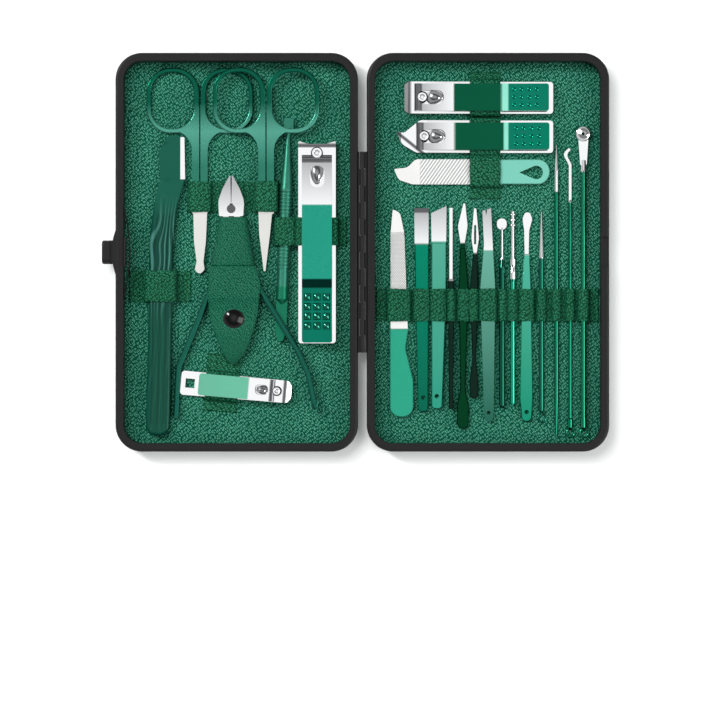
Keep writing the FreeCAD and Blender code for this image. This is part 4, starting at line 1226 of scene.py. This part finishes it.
@dataclass
class ClipperTrim:
    """Pin head, dished window and stud caps of one clipper, in mm along its own axis from its head.

    The window is given by its front, its back and its half width.
    """

    name: str
    half: Half
    lever: str
    place: Point
    turn: float
    pin_y: float
    head_r: float
    crown: float
    bar_r: float
    window: tuple[float, float, float]
    steps: int = 28
    head_lift: float = 0.45
    dish_lift: float = 0.42
    dish_flare: float = 0.22
    cap_half: float = 1.2
    cap_rise: float = 0.45
    cap_sink: float = 0.05
    cap_steps: int = 8

    def build(self, chrome: bpy.types.Material, dished: bpy.types.Material,
              dark: bpy.types.Material) -> list[bpy.types.Object]:
        """Builds the pin head, a dark ring under it that is painted shadow, and the dish in darkened chrome.

        Args:
            chrome: Material of the pin head.
            dished: Material of the dish, chrome darkened as painted shade.
            dark: Material of the ring, which paints the shadow under the head.

        Returns:
            The three pieces.
        """
        bar_z = self.crown + self.bar_r
        top = bar_z + self.bar_r + self.head_lift
        r = self.head_r
        dome = [(0.62 * r, top - 0.9), (r, top - 0.75), (r, top - 0.35), (0.82 * r, top - 0.05),
                (0.4 * r, top + 0.12), (0.05, top + 0.15)]
        # A dark ring under the head, painted shadow.
        shadow_ring = [(0.5 * r, top - 0.8), (1.4 * r, top - 0.75), (1.42 * r, top - 0.5), (0.6 * r, top - 0.4)]
        front, back, half_width = self.window
        rim = bar_z + self.dish_lift
        bowl = [(0.95, rim - 1.3), (1.02, rim - 0.2), (1.0, rim), (0.9, rim - 0.1), (0.75, rim - 0.55),
                (0.5, rim - 1.0), (0.25, rim - 1.2), (0.04, rim - 1.25)]
        middle, span = (front + back) / 2, (half_width, (front - back) / 2)
        return [
            self._stacked("pin_head", dome, self.pin_y, chrome, self.half.body),
            self._stacked("pin_shadow_ring", shadow_ring, self.pin_y, dark, self.half.body),
            self._stacked("dish", bowl, middle, dished, self.lever, span, self.dish_flare),
        ]

    def _stacked(self, name: str, rings: Sequence[Point], middle: float, material: bpy.types.Material,
                 body: str, span: Point = (1.0, 1.0), flare: float = 0.0) -> bpy.types.Object:
        """Builds a piece of stacked ovals.

        Args:
            name: The piece's name after the clipper's.
            rings: Size and height of each oval.
            middle: Where their middle lies along the clipper.
            material: Its material.
            body: The body it rides on.
            span: Half width and half length of an oval of size 1.
            flare: How much wider than that it is at the front, as a share.

        Returns:
            The piece.
        """
        points = []
        for size, z in rings:
            for step in range(self.steps):
                angle = 2 * math.pi * step / self.steps
                across = size * span[0] * (1 + flare * math.sin(angle)) * math.cos(angle)
                points.append(self._world(across, middle + size * span[1] * math.sin(angle), z))
        piece = mesh_piece(f"{self.name}_{name}", points, ring_faces(len(rings), self.steps), material)
        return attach(piece, body)

    def studs(self, lever: bpy.types.Object, rows: Sequence[float], columns: Sequence[float],
              material: bpy.types.Material) -> bpy.types.Object:
        """Builds the cushioned caps of the square studs on the lever's pad.

        Args:
            lever: The lever's node.
            rows: Where the rows of studs lie along the clipper.
            columns: Where the columns lie across it.
            material: Their material.

        Returns:
            The caps, as one piece.
        """
        points: list[Place] = []
        faces: list[tuple[int, ...]] = []
        shares = [2 * step / self.cap_steps - 1 for step in range(self.cap_steps + 1)]
        count = len(shares)
        for row, column in product(rows, columns):
            spot = Vector(self._world(column, row, 0.0))
            top = lever.ray_cast(Vector((spot.x, spot.y, 1.0)), Vector((0.0, 0.0, -1.0)))[1].z
            first = len(points)
            for across, along in product(shares, shares):
                x, y, _ = self._world(column + across * self.cap_half, row + along * self.cap_half, 0.0)
                swell = (1 - across ** 2) * (1 - along ** 2)
                points.append((x, y, top + (self.cap_rise * swell - self.cap_sink) * MM))
            for i, j in product(range(count - 1), range(count - 1)):
                corner = first + i * count + j
                faces.append((corner, corner + count, corner + count + 1, corner + 1))
            faces.append(tuple(first + i * count + j for i, j in grid_border(count, count)))
        piece = mesh_piece(f"{self.name}_studs", points, faces, material, subdivide=False)
        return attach(piece, self.lever)

    def _world(self, x: float, y: float, z: float) -> Place:
        """Returns a place on the clipper as a point of the row frame, in metres."""
        u, v = turned(x, y, self.turn)
        return self.half.world(self.place[0] + u, self.place[1] + v, z)


def clipper_trims(base: Half, lid: Half) -> list[ClipperTrim]:
    """Lists the trim of all four clippers.

    Args:
        base: The base half.
        lid: The lid half.

    Returns:
        The trims, not yet built.
    """
    return [
        ClipperTrim("toe_clipper", base, "toe_lever", place=(33.05, 46.8), turn=0.0, pin_y=-5.8, head_r=1.8,
                    crown=4.9, bar_r=1.6, window=(-9.9, -18.8, 2.7)),
        ClipperTrim("small_clipper", base, "small_lever", place=(22.4, -57.8), turn=SMALL_CLIPPER_TILT - 90.0,
                    pin_y=-6.0, head_r=1.5, crown=4.0, bar_r=1.2, window=(-9.4, -14.6, 1.9)),
        ClipperTrim("straight_clipper", lid, "straight_lever", place=(-34.4, 64.1), turn=90.0, pin_y=-7.3,
                    head_r=1.75, crown=4.4, bar_r=1.5, window=(-9.2, -16.0, 2.7)),
        ClipperTrim("slant_clipper", lid, "slant_lever", place=(-37.9, 48.0), turn=90.0, pin_y=-11.6,
                    head_r=1.75, crown=4.4, bar_r=1.5, window=(-13.5, -20.2, 2.7)),
    ]


@dataclass
class Dresser:
    """Gives every hard node its finish, by places in mm on its half."""

    nodes: dict[str, bpy.types.Object]
    base: Half
    lid: Half
    handle_end: float = 10.0
    handle_round: float = 0.8
    round_steps: int = 4
    weld: float = 0.002

    def dress(self, names: Sequence[str], finish: HardFinish) -> None:
        """Puts one material on several nodes.

        Args:
            names: The nodes' names.
            finish: Their finish.
        """
        material = finish.material()
        for name in names:
            slots = self.nodes[name].data.materials
            slots.clear()
            slots.append(material)
            LOG.info("%s wears %s", name, finish.name)

    def plain(self, name: str, finish: Finish, nodes: Sequence[str], coat: float = 0.0) -> None:
        """Dresses nodes in one finish all over.

        Args:
            name: The material's name.
            finish: The finish.
            nodes: The nodes' names.
            coat: Weight of a clear coat.
        """
        self.dress(nodes, HardFinish(name, (Zone(FAR, finish),), coat=coat))

    def along(self, half: Half, nodes: Sequence[str], zones: Sequence[tuple],
              direction: Point = (0.0, 1.0), pattern: Pattern = Pattern.BRUSHED) -> None:
        """Dresses nodes in zones along a direction.

        Args:
            half: The half that places are measured on.
            nodes: The nodes' names.
            zones: Where each finish ends, in mm, the finish, and any finish it fades from.
            direction: Direction along which the zones follow each other.
            pattern: What the cut zones carry.
        """
        made = tuple(Zone(*zone) for zone in zones)
        self.dress(nodes, HardFinish(f"{nodes[0]}_finish", made, direction, (half.x, 0.0), pattern))

    def edged(self, half: Half, node: str, low: float, high: float, direction: Point = (0.0, 1.0)) -> None:
        """Dresses a clipper's jaw in chrome with a darker line along its cutting edge, a painted dark
        reflection.

        Args:
            half: The half that places are measured on.
            node: The jaw's node.
            low: Where the line starts, in mm.
            high: Where it ends.
            direction: Direction in which these are measured.
        """
        self.along(half, [node], [(low, CHROME), (high, CHROME_PAINTED_SHADE), (FAR, CHROME)], direction)

    def round_tops(self, name: str) -> None:
        """Rounds the long square edges of a handle's topmost face, up to the handle's end.

        Args:
            name: The handle's node.
        """
        node = self.nodes[name]
        mesh = node.data
        spots = [vertex.co / MM for vertex in mesh.vertices]
        top = max(spot.z for spot in spots if spot.y < self.handle_end)
        raised = {at for at, spot in enumerate(spots) if spot.y < self.handle_end and spot.z > top - TOUCH}
        sides = Counter(key for face in mesh.polygons for key in face.edge_keys)
        weights = mesh.attributes.new("bevel_weight_edge", "FLOAT", "EDGE")
        for edge in mesh.edges:
            if sides[edge.key] == 1:
                run = spots[edge.vertices[1]] - spots[edge.vertices[0]]
                rounded = raised.issuperset(edge.vertices) and abs(run.y) > abs(run.x)
                edge.use_edge_sharp = not rounded
                weights.data[edge.index].value = float(rounded)
        stack = node.modifiers
        stack.new("weld", "WELD").merge_threshold = self.weld * MM
        bevel = stack.new("rounding", "BEVEL")
        bevel.width = self.handle_round * MM
        bevel.segments = self.round_steps
        bevel.limit_method = "WEIGHT"
        bevel.use_clamp_overlap = False
        stack.new("normals", "WEIGHTED_NORMAL").keep_sharp = True
        LOG.info("%s is rounded at its top", name)

    def case(self) -> None:
        """Dresses the rims, the hinge, the latch and the snap."""
        self.plain("rim_paint", BLACK_PAINT, ["base_frame", "lid_frame", "hinge_pin", "latch_button"])
        self.plain("dark_spring", BLACK_STEEL_AND_SHADOW, ["latch_spring", "nipper_spring", "snap_stud"])
        self.plain("snap_dome", BLACK_DOME, ["snap_cap"], coat=0.3)

    def base_tools(self) -> None:
        """Dresses the tools in the base."""
        self.plain("bright_chrome", CHROME, [
            "razor_blade", "base_clipper_pins", "lid_clipper_pins", "toe_clipper_lower",
            "small_clipper_lower", "straight_clipper_lower", "slant_clipper_lower"])
        # The pivot screws are darkened chrome, painted shade of the pivot holes.
        self.plain("shaded_screw", CHROME_PAINTED_SHADE, ["pivot_screws"])
        # The grip's grooves carry pale painted highlight lines, which nearly fade out on the lower grip.
        self.dress(["razor_handle"], HardFinish("razor_grip", (
            Zone(-30.0, GRIP_LOW), Zone(-12.0, GRIP, GRIP_LOW), Zone(6.0, GRIP), Zone(24.0, RAZOR_HEAD, GRIP),
            Zone(FAR, RAZOR_HEAD)), pattern=Pattern.GROOVED, gloss=0.14, pattern_paint=(84, 146, 134)))
        blades = [f"{kind}_scissors_{side}" for kind in ("nose", "brow") for side in ("lower", "upper")]
        # The shanks brighten into a painted highlight where they meet, and the rings darken into painted
        # shade.
        self.along(self.base, blades, [
            (16.9, STEEL), (36.0, TEAL), (50.0, TEAL_PAINTED_HIGHLIGHT, TEAL), (62.0, RING_PAINTED_SHADE, TEAL_PAINTED_HIGHLIGHT),
            (FAR, RING_PAINTED_SHADE)])
        jaws = ["nipper_left", "nipper_right"]
        # The jaws' chrome darkens towards their tips as painted shade.
        self.along(self.base, jaws, [(14.8, TEAL_HANDLE), (28.0, SHADED_CHROME, CHROME)])
        for name in jaws:
            self.round_tops(name)
        self.along(self.base, ["cuticle_pusher"], [(-14.0, PUSHER_LOW), (FAR, PUSHER_TEAL)])
        # Painted shade: the groove before the pad is darkened, the chrome darkens towards the bar, and the
        # bar is darker chrome.
        self.along(self.base, ["toe_clipper_lever"], [
            (-14.6, PAD_TEAL), (-11.1, GROOVE_PAINTED_SHADE), (19.8, SPARKLE), (37.0, SHADED_CHROME, CHROME),
            (40.2, BAR_PAINTED_SHADE), (FAR, CHROME)], pattern=Pattern.SPECKLED)
        tilted = turned(1.0, 0.0, SMALL_CLIPPER_TILT)
        # The bar is darker chrome, painted shade.
        self.along(self.base, ["small_clipper_lever"], [
            (9.6, PALE, PALE_END), (18.3, CHROME), (20.7, BAR_PAINTED_SHADE), (FAR, CHROME)], tilted)
        self.edged(self.base, "toe_clipper_upper", 43.6, 44.4)
        self.edged(self.base, "small_clipper_upper", 24.2, 25.0, tilted)

    def lid_tools(self) -> None:
        """Dresses the tools in the lid."""
        across = (1.0, 0.0)
        # On each lever the bar is darker chrome and the chrome next to it starts darker and fades to bright,
        # both painted shade.
        looks = ((CHROME,), (BAR_PAINTED_SHADE,), (CHROME, SHADED_CHROME), (DEEP,), (AQUA,), (PAD_DEEP,))
        ends = {
            "straight": (-30.3, -27.3, -14.3, 5.6, 8.3, FAR),
            "slant": (-29.5, -26.5, -13.8, 6.8, 8.5, FAR),
        }
        for kind, places in ends.items():
            zones = [(place, *look) for place, look in zip(places, looks)]
            self.along(self.lid, [f"{kind}_clipper_lever"], zones, across)
        self.along(self.lid, ["foot_file"], [
            (-27.8, PLAIN_STEEL), (-4.0, FILE_STEEL), (4.7, PLAIN_STEEL), (FAR, MINT)],
            across, Pattern.SLANTED)
        self.along(self.lid, ["nail_file"], [
            (-31.5, MINT_DEEP), (-28.6, PLAIN_STEEL), (8.5, FILE_STEEL), (FAR, PLAIN_STEEL)],
            pattern=Pattern.CROSS_CUT)
        self.edged(self.lid, "straight_clipper_upper", -32.6, -31.9, across)
        self.edged(self.lid, "slant_clipper_upper", 14.6, 16.0, (0.625, 0.78))
        # The fading coats, on the planers, the upper tweezers and the ear scoop, go from a darker to a
        # lighter copy: painted light and shade.
        coats = {
            "square_planer": (3.7, PLANER_PAINTED_LIGHT, PLANER_PAINTED_SHADE),
            "slant_planer": (4.6, PALE_PLANER_PAINTED_LIGHT, PALE_PLANER_PAINTED_SHADE),
            "edge_planer": (-11.3, BLACK_GREEN),
            "cuticle_knife": (4.3, Finish((8, 60, 34), 0.16)),
            "nail_cleaner": (-0.5, BLACK_GREEN),
            "tweezers_lower": (1.0, TEAL),
            "tweezers_upper": (1.0, Finish((110, 180, 160), 0.22), Finish((16, 84, 66), 0.22)),
            "ear_spade": (-2.7, Finish((24, 96, 74), 0.16)),
            "ear_spiral": (-10.9, Finish((40, 178, 140), 0.16)),
            "ear_scoop": (-1.0, Finish((84, 184, 158), 0.22), Finish((0, 142, 108), 0.22)),
            "ring_needle": (-2.3, Finish((34, 112, 92), 0.16)),
            "long_needle": (25.0, Finish((30, 128, 98), 0.14)),
            "bent_needle": (21.1, Finish((30, 128, 98), 0.14)),
            "ball_pick": (33.6, Finish((40, 140, 108), 0.14)),
        }
        # The tips darken from chrome as painted shade, and the square planer ends in a strip of darker
        # chrome, also painted shade.
        tips = {
            "square_planer": [(16.4, SHADED_CHROME, CHROME), (FAR, CHROME_PAINTED_SHADE)],
            "slant_planer": [(21.0, SHADED_CHROME, CHROME)],
            "tweezers_upper": [(19.0, SHADED_CHROME, CHROME)],
        }
        for node, coat in coats.items():
            self.along(self.lid, [node], [coat, *tips.get(node, [(FAR, CHROME)])])


def seen_rays(wiring: Wiring) -> bpy.types.NodeSocket:
    """Marks the rays that show the background: from the camera, off a mirror or through glass.

    Args:
        wiring: The material's or the sky's node tree.

    Returns:
        Socket that is 1 for such a ray.
    """
    rays = wiring.add("ShaderNodeLightPath").outputs
    seen = wiring.math("MAXIMUM", rays["Is Camera Ray"], rays["Is Glossy Ray"])
    return wiring.math("MAXIMUM", seen, rays["Is Transmission Ray"])


@dataclass(frozen=True)
class Lamp:
    """One rectangular lamp that faces the case: place and sides in metres, power in watts."""

    name: str
    place: Place
    sides: Point
    power: float
    mirrored: bool = True


@dataclass
class Studio:
    """Camera, floor, lamps and sky round the case, in metres.

    The sky is listed as height and brightness: what lights the case, what mirrors show, and overhead.
    """

    distance: float = 1.4
    frame_width: float = 0.295
    aim: Place = (0.0008, -0.0434, 0.010)
    floor_size: float = 6.0
    floor_drop: float = 0.0003
    floor_grey: float = 0.86
    floor_roughness: float = 0.9
    floor_glow: float = 0.12
    lamps: tuple[Lamp, ...] = (
        Lamp("key_soft", (-0.45, 0.5, 1.5), (0.7, 0.7), 17.0, mirrored=False),
        Lamp("key_strip", (-1.0, 0.6, 1.15), (0.24, 0.42), 13.0),
        Lamp("fill_lamp", (1.1, -0.4, 1.3), (1.0, 1.0), 13.0),
    )
    sky_light: tuple[Point, ...] = ((0.0, 0.40), (0.50, 0.22))
    sky_seen: tuple[Point, ...] = ((0.0, 0.80), (0.52, 0.80), (0.66, 0.30))
    overhead: tuple[Point, ...] = ((0.80, 0.15), (0.90, 0.28), (0.965, 0.70), (0.992, 1.0))
    sky_strength: float = 1.08

    def build(self) -> None:
        """Builds the camera, the floor, the sky and the lamps."""
        self._camera()
        self._floor()
        self._sky()
        for lamp in self.lamps:
            self._hang(lamp)
        bpy.context.scene.view_settings.view_transform = "Standard"

    def _camera(self) -> None:
        """Sets the camera straight above the open case."""
        data = bpy.data.cameras.new("camera")
        data.lens = data.sensor_width * self.distance / self.frame_width
        camera = bpy.data.objects.new("camera", data)
        camera.location = Vector(self.aim) + Vector((0.0, 0.0, self.distance))
        bpy.context.scene.collection.objects.link(camera)
        bpy.context.scene.camera = camera

    def _floor(self) -> None:
        """Lays the pale floor, which keeps the shadow of the case."""
        half = self.floor_size / 2
        ring = ((-half, -half), (half, -half), (half, half), (-half, half))
        mesh = bpy.data.meshes.new("floor")
        mesh.from_pydata([(x, y, -self.floor_drop) for x, y in ring], [], [(0, 1, 2, 3)])
        floor = bpy.data.objects.new("floor", mesh)
        bpy.context.scene.collection.objects.link(floor)
        material = bpy.data.materials.new("pale_floor")
        material.use_nodes = True
        wiring = Wiring(material.node_tree)
        surface = material.node_tree.nodes["Principled BSDF"]
        surface.inputs["Base Color"].default_value = grey(self.floor_grey)
        surface.inputs["Roughness"].default_value = self.floor_roughness
        surface.inputs["Specular IOR Level"].default_value = 0.0
        surface.inputs["Emission Color"].default_value = grey(1.0)
        glow = wiring.math("MULTIPLY", seen_rays(wiring), self.floor_glow)
        wiring.feed(surface, "Emission Strength", glow)
        mesh.materials.append(material)

    def _sky(self) -> None:
        """Sets a soft sky, brightest overhead, that is pale behind the case and in mirrors."""
        world = bpy.data.worlds.new("studio_sky")
        bpy.context.scene.world = world
        world.use_nodes = True
        wiring = Wiring(world.node_tree)
        place = wiring.add("ShaderNodeTexCoord").outputs["Generated"]
        height = wiring.add("ShaderNodeSeparateXYZ", {0: place}).outputs["Z"]
        light, seen_sky = (wiring.ramp(height, [(at, grey(level)) for at, level in (*low, *self.overhead)])
                           for low in (self.sky_light, self.sky_seen))
        background = world.node_tree.nodes["Background"]
        wiring.feed(background, "Color", wiring.blend(seen_rays(wiring), light, seen_sky))
        background.inputs["Strength"].default_value = self.sky_strength

    def _hang(self, lamp: Lamp) -> None:
        """Hangs one lamp.

        Args:
            lamp: The lamp, which shiny faces show only where it is mirrored.
        """
        data = bpy.data.lights.new(lamp.name, "AREA")
        data.shape = "RECTANGLE"
        data.size, data.size_y = lamp.sides
        data.energy = lamp.power
        hung = bpy.data.objects.new(lamp.name, data)
        hung.location = lamp.place
        hung.rotation_euler = Vector(lamp.place).to_track_quat("Z", "Y").to_euler()
        hung.visible_glossy = lamp.mirrored
        bpy.context.scene.collection.objects.link(hung)


def clear_scene() -> None:
    """Removes what a new Blender file starts with."""
    for leftover in list(bpy.data.objects):
        bpy.data.objects.remove(leftover)


def main() -> None:
    """Loads the frame, builds every soft piece, dresses every hard one and lights them."""
    logging.basicConfig(level=logging.INFO, format="%(name)s: %(message)s")
    clear_scene()
    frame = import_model()
    base, lid = Half.read("base"), Half.read("lid")
    Studio().build()
    lining, cover, strap_hide = LINING_HIDE.material(), COVER_HIDE.material(), STRAP_HIDE.material()
    pieces: list[bpy.types.Object] = []
    for half in (base, lid):
        pieces += CaseHalf(half).build(cover, lining)
    shadow = HardFinish("slit_shadow", (Zone(FAR, SLIT_DARK),), gloss=0.0).material()
    for strap in straps(base, lid):
        pieces += strap.build(strap_hide, shadow)
    pieces += NipperHolder(base).build(TONGUE_HIDE.material())
    # The dish chrome is darkened as painted shade, and the black ring under each pin head is painted shadow.
    trim_materials = [HardFinish(name, (Zone(FAR, finish),), warp=0.0).material() for name, finish in (
        ("pin_chrome", CHROME), ("dish_painted_shade", DISH_PAINTED_SHADE), ("pin_shadow", BLACK_STEEL_AND_SHADOW))]
    trims = {trim.name: trim for trim in clipper_trims(base, lid)}
    for trim in trims.values():
        pieces += trim.build(*trim_materials)
    stud_teal = HardFinish("stud_teal", (Zone(FAR, PAD_TEAL),), warp=0.0, coat=0.6).material()
    toe_lever = frame["nodes"]["toe_clipper_lever"]
    pieces.append(trims["toe_clipper"].studs(toe_lever, TOE_STUD_ROWS, TOE_STUD_COLUMNS, stud_teal))
    dresser = Dresser(frame["nodes"], base, lid)
    dresser.case()
    dresser.base_tools()
    dresser.lid_tools()
    for piece in pieces:
        LOG.info("%s has %d vertices", piece.name, len(piece.data.vertices))


if __name__ == "__main__":
    main()
